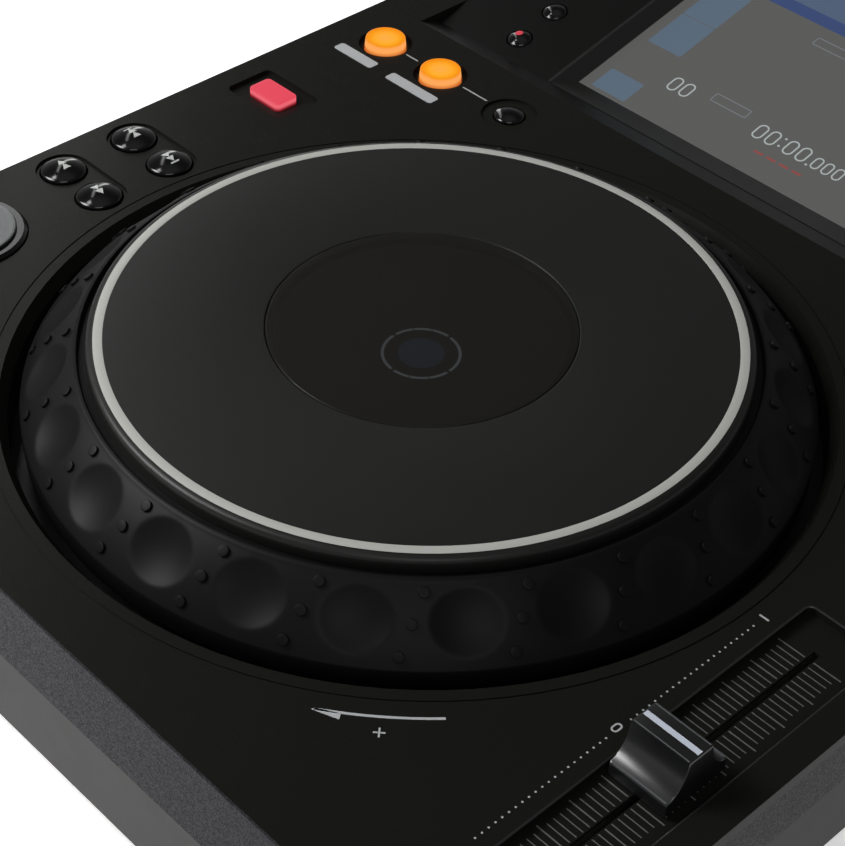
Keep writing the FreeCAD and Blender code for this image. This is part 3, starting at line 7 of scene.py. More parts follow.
import bmesh
import bpy
import numpy as np
from bpy.props import FloatProperty, FloatVectorProperty, IntProperty, PointerProperty
from mathutils import Matrix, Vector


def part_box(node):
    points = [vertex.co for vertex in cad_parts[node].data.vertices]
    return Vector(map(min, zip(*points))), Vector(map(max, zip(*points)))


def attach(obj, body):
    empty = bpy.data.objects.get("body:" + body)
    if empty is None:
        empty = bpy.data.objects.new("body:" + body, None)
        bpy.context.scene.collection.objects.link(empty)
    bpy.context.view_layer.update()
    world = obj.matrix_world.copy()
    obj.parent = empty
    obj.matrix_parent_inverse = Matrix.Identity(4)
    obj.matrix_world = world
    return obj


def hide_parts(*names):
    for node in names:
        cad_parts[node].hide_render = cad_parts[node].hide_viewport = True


bl_info = {
    "name": "Disc player looks",
    "version": (1, 0, 0),
    "blender": (4, 5, 0),
    "location": "View3D > Sidebar > Player",
    "description": "Dresses the packed disc player with its dial, keys, fader, screen and finishes",
    "category": "Object",
}

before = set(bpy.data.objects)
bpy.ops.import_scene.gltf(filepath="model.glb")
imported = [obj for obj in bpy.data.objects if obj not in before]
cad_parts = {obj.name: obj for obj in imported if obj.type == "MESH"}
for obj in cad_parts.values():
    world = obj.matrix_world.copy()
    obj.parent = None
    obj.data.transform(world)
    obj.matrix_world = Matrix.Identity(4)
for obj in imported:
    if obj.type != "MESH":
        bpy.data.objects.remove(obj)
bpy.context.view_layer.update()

MM = 0.001
DECK_ORIGIN = np.array([0.0, -63.0, 71.0])
PANEL_ORIGIN = np.array([0.0, 86.9, 71.0])
PANEL_SLOPE = np.radians(13.0)
KEY_FOOT, FLANGE_LOW, FLANGE_HIGH = -6.05, -4.8, -3.6
STEM_RADIUS, FLANGE_REACH = 1.8, 1.2
# Middles of the two columns of keys, the row of keys behind the dial and the fader's travel, on the deck.
LEFT_KEYS, RIGHT_KEYS, TOP_ROW, FADER_MIDDLE = -132.4, 132.4, 109.5, -51.3
DIMPLE_START = np.radians(7.8)


# ---------------------------------------------------------------- places and profiles


def on_deck(points):
    """Deck millimetres to the row frame: the point plus the deck's origin."""
    return (np.asarray(points, float) + DECK_ORIGIN) * MM


def on_panel(points):
    """Panel millimetres (across, up the slope, away from it) to the row frame: a turn about X by the slope."""
    x, s, n = np.moveaxis(np.asarray(points, float), -1, 0)
    c, k = np.cos(PANEL_SLOPE), np.sin(PANEL_SLOPE)
    return (np.stack([x, s * c - n * k, s * k + n * c], -1) + PANEL_ORIGIN) * MM


def eased(corners, steps=5, closed=False):
    """A profile of (x, y, ease) corners, each rounded by a quadratic curve that starts and ends ease away from it."""
    c = np.asarray(corners, float)
    p, ease = c[:, :2], c[:, 2:3]
    back, ahead = np.roll(p, 1, 0) - p, np.roll(p, -1, 0) - p
    back /= np.maximum(np.linalg.norm(back, axis=1, keepdims=True), 1e-9)
    ahead /= np.maximum(np.linalg.norm(ahead, axis=1, keepdims=True), 1e-9)
    t = np.linspace(0, 1, steps)[None, :, None]
    a, b = (p + back * ease)[:, None], (p + ahead * ease)[:, None]
    line = ((1 - t) ** 2 * a + 2 * t * (1 - t) * p[:, None] + t**2 * b).reshape(-1, 2)
    gap = np.linalg.norm(np.diff(line, axis=0), axis=1)
    line = line[np.concatenate([[True], gap > 1e-5])]
    if closed and np.linalg.norm(line[0] - line[-1]) < 1e-5:
        line = line[:-1]
    return line


def arc(centre, radius, start, end, steps):
    """Points of a circle's arc: centre plus radius times cosine and sine of the angle."""
    a = np.radians(np.linspace(start, end, steps))
    return np.stack([centre[0] + radius * np.cos(a), centre[1] + radius * np.sin(a)], -1)


def turned(profile, count=96, centre=(0, 0)):
    """Rows of a profile of (radius, height) turned about an upright axis at centre: r cos, r sin, z."""
    a = np.arange(count) * (2 * np.pi / count)
    r, z = np.asarray(profile, float).T
    rows = np.stack([np.outer(r, np.cos(a)), np.outer(r, np.sin(a)), np.repeat(z[:, None], count, 1)], -1)
    return rows + np.array([centre[0], centre[1], 0.0])


def outline(width, depth, corner, steps=6):
    """A rounded rectangle about its middle: four quarter circles of radius corner at the inner corners."""
    corner = min(corner, width / 2, depth / 2)
    a = np.radians(np.concatenate([np.linspace(q, q + 90, steps) for q in (0, 90, 180, 270)]))
    x = np.repeat([1, -1, -1, 1], steps) * (width / 2 - corner) + corner * np.cos(a)
    y = np.repeat([1, 1, -1, -1], steps) * (depth / 2 - corner) + corner * np.sin(a)
    return np.stack([x, y], -1)


def block(width, depth, corner, levels, centre=(0, 0), steps=6):
    """Rows of a rounded block: its outline drawn in by each level's inset, at that level's height."""
    rows = []
    for inset, height in levels:
        loop = outline(width - 2 * inset, depth - 2 * inset, max(corner - inset, 0.02), steps)
        rows.append(np.column_stack([loop + np.asarray(centre, float), np.full(len(loop), height)]))
    return np.array(rows)


def edged(width, depth, corner, low, high, ease, centre=(0, 0), steps=6, turns=4):
    """Rows of a block whose top edge is a quarter circle of radius ease."""
    a = np.linspace(0, np.pi / 2, turns)
    levels = [(0, low)] + [(ease * (1 - np.cos(t)), high - ease + ease * np.sin(t)) for t in a]
    return block(width, depth, corner, levels, centre, steps)


def ring(width, depth, corner, band, low, high, centre=(0, 0), steps=6):
    """Rows of an upright band round a rounded rectangle, outside up and inside down, to be joined end to start."""
    return block(width, depth, corner, [(0, low), (0, high), (band, high), (band, low)], centre, steps)


def sector(inner, outer, start, end, low, high, steps=12, centre=(0, 0)):
    """Rows across a flat arc: at each angle the four corners of its inner and outer radius and low and high face."""
    a = np.radians(np.linspace(start, end, steps))
    r = np.array([inner, outer, outer, inner])
    z = np.array([low, low, high, high])
    return np.stack(
        [np.outer(np.cos(a), r) + centre[0], np.outer(np.sin(a), r) + centre[1], np.tile(z, (steps, 1))], -1
    )


def bar(start, end, width, low, high):
    """Rows of a straight flat bar from start to end: half the width to each side of the line."""
    s, e = np.asarray(start, float), np.asarray(end, float)
    side = np.array([e[1] - s[1], s[0] - e[0]]) / np.linalg.norm(e - s) * width / 2
    loop = np.array([s + side, e + side, e - side, s - side])
    return np.array([np.column_stack([loop, np.full(4, z)]) for z in (low, high)])


def sheeted(loop, low, high):
    """Rows of a flat shape: its loop of points at the low and at the high height."""
    loop = np.asarray(loop, float)
    return np.array([np.column_stack([loop, np.full(len(loop), z)]) for z in (low, high)])


class Shells:
    """Closed shells gathered into one piece. Each row of points is a closed loop joined to the next row."""

    def __init__(self):
        self.points, self.faces, self.kinds, self.count = [], [], [], 0

    def add(self, rows, kind=0, wrap=False, support=0.94):
        """Adds rows as quads, the last row joined to the first where wrap, and otherwise each end closed by a
        supporting loop and a fan. The shell is turned outwards by the sign of its volume."""
        rows = np.asarray(rows, float)
        if not wrap:
            ends = [rows[0].mean(0), rows[-1].mean(0)]
            inner = [end + (row - end) * support for end, row in zip(ends, (rows[0], rows[-1]))]
            rows = np.concatenate([inner[:1], rows, inner[1:]])
        n, m = rows.shape[:2]
        grid = np.arange(n * m).reshape(n, m)
        below, above = (grid, np.roll(grid, -1, 0)) if wrap else (grid[:-1], grid[1:])
        quads = np.stack(
            [below, np.roll(below, -1, 1), np.roll(above, -1, 1), above], -1
        ).reshape(-1, 4)
        points = rows.reshape(-1, 3)
        fans = np.zeros((0, 3), int)
        if not wrap:
            points = np.concatenate([points, ends])
            first, last, a, b = grid[0], grid[-1], n * m, n * m + 1
            fans = np.concatenate(
                [
                    np.stack([np.full(m, a), np.roll(first, -1), first], -1),
                    np.stack([np.full(m, b), last, np.roll(last, -1)], -1),
                ]
            )
        middle = points.mean(0)
        halves = np.concatenate([quads[:, [0, 1, 2]], quads[:, [0, 2, 3]], fans])
        p = points[halves] - middle
        if np.einsum("ij,ij->i", p[:, 0], np.cross(p[:, 1], p[:, 2])).sum() < 0:
            quads, fans = quads[:, ::-1], fans[:, ::-1]
        self.points.append(points)
        self.faces += (quads + self.count).tolist() + (fans + self.count).tolist()
        self.kinds += [kind] * (len(quads) + len(fans))
        self.count += len(points)
        return self

    def piece(self, name, body, place, finishes, slot=None, stands_for=(), sharp=38):
        """Puts the shells in the row frame as one piece that rides on body: doubles merged, flat faces kept crisp."""
        mesh = bpy.data.meshes.new(name)
        mesh.from_pydata(place(np.concatenate(self.points)).tolist(), [], self.faces)
        mesh.polygons.foreach_set("material_index", self.kinds)
        for finish in finishes:
            mesh.materials.append(finish)
        bm = bmesh.new()
        bm.from_mesh(mesh)
        bmesh.ops.remove_doubles(bm, verts=bm.verts, dist=2e-7)
        bmesh.ops.dissolve_degenerate(bm, edges=bm.edges, dist=2e-7)
        bm.to_mesh(mesh)
        bm.free()
        mesh.polygons.foreach_set("use_smooth", [True] * len(mesh.polygons))
        mesh.set_sharp_from_angle(angle=np.radians(sharp))
        made = bpy.data.objects.new(name, mesh)
        bpy.context.scene.collection.objects.link(made)
        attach(made, body)
        if stands_for:
            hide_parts(*stands_for)
        return made


# ---------------------------------------------------------------- finishes


def paint(colour):
    """A written display colour of three parts from 0 to 1 as the linear colour that shaders read."""
    c = np.asarray(colour, float)[:3]
    linear = np.where(c <= 0.04045, c / 12.92, ((c + 0.055) / 1.055) ** 2.4)
    return (*linear.tolist(), 1.0)


def step(tree, kind, sockets=(), **settings):
    """One shader node with its settings, and with each named input linked or set."""
    made = tree.nodes.new("ShaderNode" + kind)
    for name, value in settings.items():
        setattr(made, name, value)
    for key, value in dict(sockets).items():
        if isinstance(value, bpy.types.NodeSocket):
            tree.links.new(value, made.inputs[key])
        else:
            made.inputs[key].default_value = value
    return made


def maths(tree, operation, a, b=0.0, clamp=False):
    """One Math node's value."""
    return step(tree, "Math", {0: a, 1: b}, operation=operation, use_clamp=clamp).outputs[0]


def mixed(tree, share, a, b, blend="MIX"):
    """One Mix node's colour."""
    return step(tree, "Mix", {0: share, 6: a, 7: b}, data_type="RGBA", blend_type=blend).outputs[2]


def effect(name, inputs, outputs):
    """An empty shader node group with its input and output nodes. An input's kind follows from the number of parts
    of its default value, and the output named Colour is a colour, the others numbers."""
    tree = bpy.data.node_groups.new(name, "ShaderNodeTree")
    kinds = {1: "NodeSocketFloat", 3: "NodeSocketVector", 4: "NodeSocketColor"}
    for label, value in inputs.items():
        socket = tree.interface.new_socket(name=label, in_out="INPUT", socket_type=kinds[np.size(value)])
        socket.default_value = value
    for label in outputs:
        tree.interface.new_socket(name=label, in_out="OUTPUT", socket_type=kinds[4 if label == "Colour" else 1])
    return tree, tree.nodes.new("NodeGroupInput").outputs, tree.nodes.new("NodeGroupOutput")


def moulded_grain():
    """Moulded plastic: a slow drift of the colour, and a fine grain that changes the gloss and lifts the surface."""
    if "moulded_grain" in bpy.data.node_groups:
        return bpy.data.node_groups["moulded_grain"]
    tree, given, out = effect(
        "moulded_grain",
        {"Colour": (0.02, 0.02, 0.02, 1), "Drift": 0.2, "Roughness": 0.4, "Spread": 0.1, "Grain": 2500.0},
        ("Colour", "Roughness", "Height"),
    )
    where = step(tree, "TexCoord").outputs["Object"]
    fine = step(tree, "TexNoise", {"Vector": where, "Scale": given["Grain"], "Detail": 2.0}).outputs[0]
    slow = step(tree, "TexNoise", {"Vector": where, "Scale": 14.0, "Detail": 3.0}).outputs[0]
    rub = step(tree, "TexNoise", {"Vector": where, "Scale": 70.0, "Detail": 4.0}).outputs[0]
    swing = maths(tree, "MULTIPLY", maths(tree, "SUBTRACT", slow, 0.5), given["Drift"])
    lift = maths(tree, "ADD", 1.0, swing)
    grey = step(tree, "CombineColor", {0: lift, 1: lift, 2: lift}).outputs[0]
    tree.links.new(mixed(tree, 1.0, given["Colour"], grey, "MULTIPLY"), out.inputs["Colour"])
    both = maths(tree, "SUBTRACT", maths(tree, "ADD", fine, rub), 1.0)
    rough = maths(tree, "ADD", given["Roughness"], maths(tree, "MULTIPLY", both, given["Spread"]), True)
    tree.links.new(rough, out.inputs["Roughness"])
    tree.links.new(fine, out.inputs["Height"])
    return tree


def metal_flake():
    """Speckled lacquer: a flake's colour over a ground in each cell whose random value is over the share, as strong
    there as a noise says."""
    if "metal_flake" in bpy.data.node_groups:
        return bpy.data.node_groups["metal_flake"]
    tree, given, out = effect(
        "metal_flake",
        {"Ground": (0.05, 0.05, 0.05, 1), "Flake": (0.1, 0.1, 0.1, 1), "Scale": 1800.0, "Share": 0.5},
        ("Colour", "Roughness", "Height"),
    )
    where = step(tree, "TexCoord").outputs["Object"]
    fine = step(tree, "TexNoise", {"Vector": where, "Scale": given["Scale"], "Detail": 1.0}).outputs[0]
    cells = step(tree, "TexVoronoi", {"Vector": where, "Scale": given["Scale"]}).outputs[1]
    pick = step(tree, "SeparateColor", {0: cells}).outputs[0]
    mask = maths(tree, "MULTIPLY", maths(tree, "GREATER_THAN", pick, given["Share"]), fine, True)
    tree.links.new(mixed(tree, mask, given["Ground"], given["Flake"]), out.inputs["Colour"])
    rough = maths(tree, "SUBTRACT", 0.52, maths(tree, "MULTIPLY", mask, 0.25))
    tree.links.new(rough, out.inputs["Roughness"])
    tree.links.new(fine, out.inputs["Height"])
    return tree


def lathe_lines():
    """Fine turning lines: waves of the distance from an upright axis through the pattern's centre."""
    if "lathe_lines" in bpy.data.node_groups:
        return bpy.data.node_groups["lathe_lines"]
    tree, given, out = effect(
        "lathe_lines",
        {"Centre": (0, 0, 0), "Pitch": 0.0004, "Roughness": 0.3, "Spread": 0.15},
        ("Roughness", "Height"),
    )
    where = step(tree, "TexCoord").outputs["Object"]
    apart = step(tree, "VectorMath", {0: where, 1: given["Centre"]}, operation="SUBTRACT").outputs[0]
    flat = step(tree, "VectorMath", {0: apart, 1: (1, 1, 0)}, operation="MULTIPLY").outputs[0]
    far = step(tree, "VectorMath", {0: flat}, operation="LENGTH").outputs["Value"]
    turns = maths(tree, "DIVIDE", far, given["Pitch"])
    noise = step(tree, "TexNoise", {"W": turns, "Scale": 1.0, "Detail": 2.0}, noise_dimensions="1D").outputs[0]
    swing = maths(tree, "MULTIPLY", maths(tree, "SUBTRACT", noise, 0.5), given["Spread"])
    tree.links.new(maths(tree, "ADD", given["Roughness"], swing, True), out.inputs["Roughness"])
    tree.links.new(noise, out.inputs["Height"])
    return tree


def lit_height():
    """A lit key: the glow's colour by height above the deck, brighter in a round patch over its lamp."""
    if "lit_height" in bpy.data.node_groups:
        return bpy.data.node_groups["lit_height"]
    tree, given, out = effect(
        "lit_height",
        {
            "Rim": (0.4, 0.05, 0, 1),
            "Side": (0.8, 0.3, 0.1, 1),
            "Top": (1, 0.4, 0.02, 1),
            "Edge": (0.8, 0.2, 0.01, 1),
            "Low": 0.0,
            "High": 0.001,
            "Lamp": (0, 0, 0),
            "Reach": 0.008,
        },
        ("Colour",),
    )
    where = step(tree, "TexCoord").outputs["Object"]
    z = step(tree, "SeparateXYZ", {0: where}).outputs[2]
    span = maths(tree, "SUBTRACT", given["High"], given["Low"])
    up = maths(tree, "DIVIDE", maths(tree, "SUBTRACT", z, given["Low"]), span, True)
    side = mixed(tree, maths(tree, "MULTIPLY", up, 2.2, True), given["Rim"], given["Side"])
    apart = step(tree, "VectorMath", {0: where, 1: given["Lamp"]}, operation="DISTANCE").outputs["Value"]
    patch = maths(tree, "SUBTRACT", 1.0, maths(tree, "DIVIDE", apart, given["Reach"]), True)
    top = mixed(tree, maths(tree, "MULTIPLY", patch, 1.7, True), given["Edge"], given["Top"])
    steep = maths(tree, "MULTIPLY", maths(tree, "SUBTRACT", up, 0.8), 5.0, True)
    tree.links.new(mixed(tree, steep, side, top), out.inputs["Colour"])
    return tree


FINISHES = {}


def shader(name, **sockets):
    """A new material with its Principled shader's sockets set."""
    made = bpy.data.materials.new(name)
    made.use_nodes = True
    surface = made.node_tree.nodes["Principled BSDF"]
    for key, value in sockets.items():
        surface.inputs[key.replace("_", " ")].default_value = value
    return made, made.node_tree, surface


def cover(tree, surface, group, sockets, depth):
    """Places a node group with its inputs set and links its colour and roughness where it has them, and its height
    to the shader's normal through a Bump node of that depth in metres."""
    given = step(tree, "Group", sockets, node_tree=group).outputs
    for output, socket in (("Colour", "Base Color"), ("Roughness", "Roughness")):
        if output in given:
            tree.links.new(given[output], surface.inputs[socket])
    bump = step(tree, "Bump", {"Height": given["Height"], "Distance": depth, "Strength": 1.0})
    tree.links.new(bump.outputs["Normal"], surface.inputs["Normal"])


def plastic(name, colour, roughness, drift=0.25, spread=0.1, grain=2600.0, depth=0.00002, specular=0.4, **more):
    """A moulded or painted surface of one colour with the moulded grain."""
    if name in FINISHES:
        return FINISHES[name]
    made, tree, surface = shader(name, Specular_IOR_Level=specular, **more)
    sockets = {"Colour": paint(colour), "Drift": drift, "Roughness": roughness, "Spread": spread, "Grain": grain}
    cover(tree, surface, moulded_grain(), sockets, depth)
    FINISHES[name] = made
    return made


def flaked(name, ground, flake, scale, share, depth=0.00003, specular=0.4):
    """Speckled lacquer over plastic."""
    made, tree, surface = shader(name, Specular_IOR_Level=specular)
    sockets = {"Ground": paint(ground), "Flake": paint(flake), "Scale": scale, "Share": share}
    cover(tree, surface, metal_flake(), sockets, depth)
    return made


def turned_metal(name, colour, roughness, centre, pitch=0.0004, spread=0.15, depth=0.000004):
    """Metal with turning lines about an upright axis at centre, in metres."""
    made, tree, surface = shader(name, Base_Color=paint(colour), Metallic=1.0)
    sockets = {"Centre": centre, "Pitch": pitch, "Roughness": roughness, "Spread": spread}
    cover(tree, surface, lathe_lines(), sockets, depth)
    return made


def smeared(name, roughness, spread, grain, **sockets):
    """A clear pane whose gloss changes in smears."""
    made, tree, surface = shader(name, **sockets)
    touch = {"Roughness": roughness, "Spread": spread, "Grain": grain}
    smear = step(tree, "Group", touch, node_tree=moulded_grain())
    tree.links.new(smear.outputs["Roughness"], surface.inputs["Roughness"])
    return made


def glow(name, rim, side, edge, top, low, high, lamp, reach=0.008):
    """A lit translucent key: its glow is the lit height's colour, over a body of the same hue."""
    body = paint(np.multiply(top, 0.2))
    made, tree, surface = shader(
        name, Base_Color=body, Roughness=0.3, Emission_Strength=1.0, Specular_IOR_Level=0.12
    )
    sockets = {"Rim": paint(rim), "Side": paint(side), "Edge": paint(edge), "Top": paint(top)}
    sockets.update({"Low": low, "High": high, "Lamp": lamp, "Reach": reach})
    lit = step(tree, "Group", sockets, node_tree=lit_height())
    tree.links.new(lit.outputs["Colour"], surface.inputs["Emission Color"])
    return made


def shown(name, colour, drift=0.06, grain=5200.0, base=(0.02, 0.02, 0.02)):
    """A lit part of the screen: an emission of the colour with a slow drift and the pixels' fine grain."""
    if name in FINISHES:
        return FINISHES[name]
    made, tree, surface = shader(name, Base_Color=paint(base), Roughness=0.5, Emission_Strength=1.0)
    sockets = {"Colour": paint(colour), "Drift": drift, "Grain": grain}
    grainy = step(tree, "Group", sockets, node_tree=moulded_grain())
    tree.links.new(grainy.outputs["Colour"], surface.inputs["Emission Color"])
    FINISHES[name] = made
    return made


# ---------------------------------------------------------------- sizes and colours


def length(name, description, default, **more):
    """A length property, given in millimetres and kept in metres."""
    return FloatProperty(name=name, description=description, default=default * MM, unit="LENGTH", precision=5, **more)


def shade(name, description, default):
    """A display colour property, given as three parts from 0 to 255."""
    return FloatVectorProperty(
        name=name,
        description=description,
        default=tuple(v / 255 for v in default),
        size=3,
        subtype="COLOR_GAMMA",
        min=0,
        max=1,
    )


class DialSizes(bpy.types.PropertyGroup):
    """Sizes of the turning dial, its plate and its window."""

    skirt_radius: length("Skirt radius", "Outer radius of the dial's skirt", 105)
    crown_radius: length("Crown radius", "Radius at the top of the flank", 90)
    crown_height: length("Crown height", "Top of the flank above the deck", 14.8)
    flank_radius: length("Flank radius", "Radius of the flank's outward curve", 60)
    dimple_radius: length("Dimple ball", "Radius of the ball that presses each finger dimple", 28.5)
    dimple_depth: length("Dimple depth", "Depth of a finger dimple at its middle", 1.7)
    dimples: IntProperty(name="Dimples", description="Finger dimples round the dial", default=24, min=3)
    stud_radius: length("Stud radius", "Radius of the small studs between the dimples", 1.42)
    stud_rise: length("Stud rise", "Height of a stud above the flank", 0.7)
    plate_radius: length("Plate radius", "Outer radius of the platter", 86.9)
    plate_top: length("Plate top", "Top of the platter above the deck", 17.7)
    ring_inner: length("Ring inner radius", "Inner radius of the pale ring", 82.4)
    ring_outer: length("Ring outer radius", "Outer radius of the pale ring", 84.9)
    window_radius: length("Window radius", "Radius of the smoked window", 40.75)


class KeySizes(bpy.types.PropertyGroup):
    """Sizes of the keys."""

    cap_radius: length("Transport cap radius", "Radius of the silver caps", 14)
    track_radius: length("Track key radius", "Radius of the track and search keys", 6.9)
    lit_radius: length("Lit key radius", "Radius of the lit loop keys", 6.8)
    large_radius: length("Large key radius", "Radius of the reloop and master tempo keys", 4.9)
    small_radius: length("Small key radius", "Radius of the other round keys", 4.1)
    crown: length("Key crown", "Rise of a round key's dome", 1.5)


class FaderSizes(bpy.types.PropertyGroup):
    """Sizes of the tempo fader."""

    cap_width: length("Cap width", "Width of the fader's cap", 16.7)
    cap_foot: length("Cap foot", "Length of the cap at its foot", 20)
    cap_top: length("Cap top", "Length of the cap at its top", 7.4)
    cap_height: length("Cap height", "Top of the cap above the deck", 11.3)
    line_pitch: length("Line pitch", "Distance between the lines of the well's scale", 2.03)
    lines: IntProperty(name="Lines", description="Lines to each side of the slot", default=51, min=2)


class Colours(bpy.types.PropertyGroup):
    """Colours of the finishes."""

    deck: shade("Deck", "Black of the deck", (25, 25, 23))
    panel: shade("Panel", "Black of the control panel", (13, 13, 12))
    dial: shade("Dial", "Dark grey of the dial's flank", (13, 13, 13))
    plate: shade("Plate", "Black of the platter", (25, 26, 24))
    pale_ring: shade("Pale ring", "Light grey of the platter's ring", (174, 174, 169))
    band: shade("Band", "Speckled grey of the case's band", (30, 30, 32))
    case: shade("Case", "Grey of the lower case", (38, 38, 37))
    print_grey: shade("Print", "Light grey of the deck's marks", (176, 178, 180))
    lit_orange: shade("Lit orange", "Glow of the loop keys", (254, 172, 22))
    lit_red: shade("Lit red", "Glow of the direction key", (226, 72, 90))
    screen: shade("Screen", "Grey of the screen", (94, 94, 93))


def sizes(context):
    """The groups of sizes as one dictionary of millimetre values and counts."""
    made = {}
    for group in (context.scene.player_dial, context.scene.player_keys, context.scene.player_fader):
        for key in type(group).__annotations__:
            value = getattr(group, key)
            made[key] = value / MM if isinstance(value, float) else value
    return made


# ---------------------------------------------------------------- pieces


class PLAYER_OT_finishes(bpy.types.Operator):
    """Gives every node of the frame its finish: moulded, lacquered, metal, rubber, glass and board."""

    bl_idname = "player.finishes"
    bl_label = "Frame finishes"

    def execute(self, context):
        c = context.scene.player_colours
        deck = plastic("deck_black", c.deck, 0.27, drift=0.1, spread=0.02, specular=0.08, depth=0.0000006)
        panel = plastic("panel_black", c.panel, 0.3, drift=0.1, spread=0.02, specular=0.3, depth=0.0000006)
        well = plastic("recess_black", (0.095, 0.095, 0.093), 0.5, specular=0.25)
        inner = plastic("inner_black", (0.055, 0.055, 0.055), 0.55, specular=0.3)
        band = flaked("band_lacquer", c.band, (0.28, 0.28, 0.3), 3800.0, 0.45, 0.000002, 0.12)
        case = plastic("case_plain", c.case, 0.5, drift=0.1, spread=0.05, depth=0.000003, specular=0.15)
        steel = plastic("zinc_steel", (0.72, 0.72, 0.7), 0.32, grain=900.0, Metallic=1.0)
        bronze = plastic("sintered_bronze", (0.62, 0.45, 0.26), 0.45, grain=3000.0, Metallic=1.0)
        gold = plastic("jack_gold", (0.86, 0.68, 0.36), 0.25, grain=1500.0, Metallic=1.0)
        rubber = plastic("foot_rubber", (0.1, 0.1, 0.1), 0.8, grain=1200.0, depth=0.00008, specular=0.25)
        board = plastic("solder_mask", (0.05, 0.24, 0.13), 0.35, drift=0.8, grain=700.0, depth=0.00006)
        rocker = plastic("rocker_black", (0.09, 0.09, 0.09), 0.4)
        bezel = plastic("bezel_black", (0.14, 0.14, 0.137), 0.3, specular=0.35, depth=0.000002)
        display = plastic("display_black", (0.075, 0.075, 0.08), 0.4, specular=0.2, depth=0.000005)
        gloss = plastic("gloss_black", (0.05, 0.05, 0.05), 0.16, depth=0.000004)
        collar = plastic("collar_black", (0.07, 0.07, 0.068), 0.42, specular=0.3)
        lcd = shown("lcd_grey", np.array(c.screen) * 0.97)
        glass = smeared("cover_glass", 0.07, 0.05, 40.0, Base_Color=(0.01, 0.01, 0.01, 1), Alpha=0.06)
        chosen = {
            name: finish
            for finish, names in (
                (deck, "deck_panel"),
                (panel, "control_panel"),
                (band, "upper_case"),
                (case, "lower_case"),
                (collar, "jog_base"),
                (display, "jog_display"),
                (bezel, "screen_bezel"),
                (glass, "touch_glass"),
                (lcd, "lcd_module"),
                (gold, "audio_jacks"),
                (rubber, "feet"),
                (rocker, "power_rocker"),
                (bronze, "jog_bearing"),
                (gloss, "cue_button play_button"),
                (inner, "jack_plate power_inlet jog_hub jog_sensor tempo_fader_carriage"),
                (steel, "usb_port data_jacks case_screws encoder_disc selector_shaft tempo_fader_rail"),
            )
            for name in names.split()
        }
        for name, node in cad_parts.items():
            finish = chosen.get(name, board if name.endswith("board") else well)
            node.data.materials.clear()
            node.data.materials.append(finish)
        return {"FINISHED"}


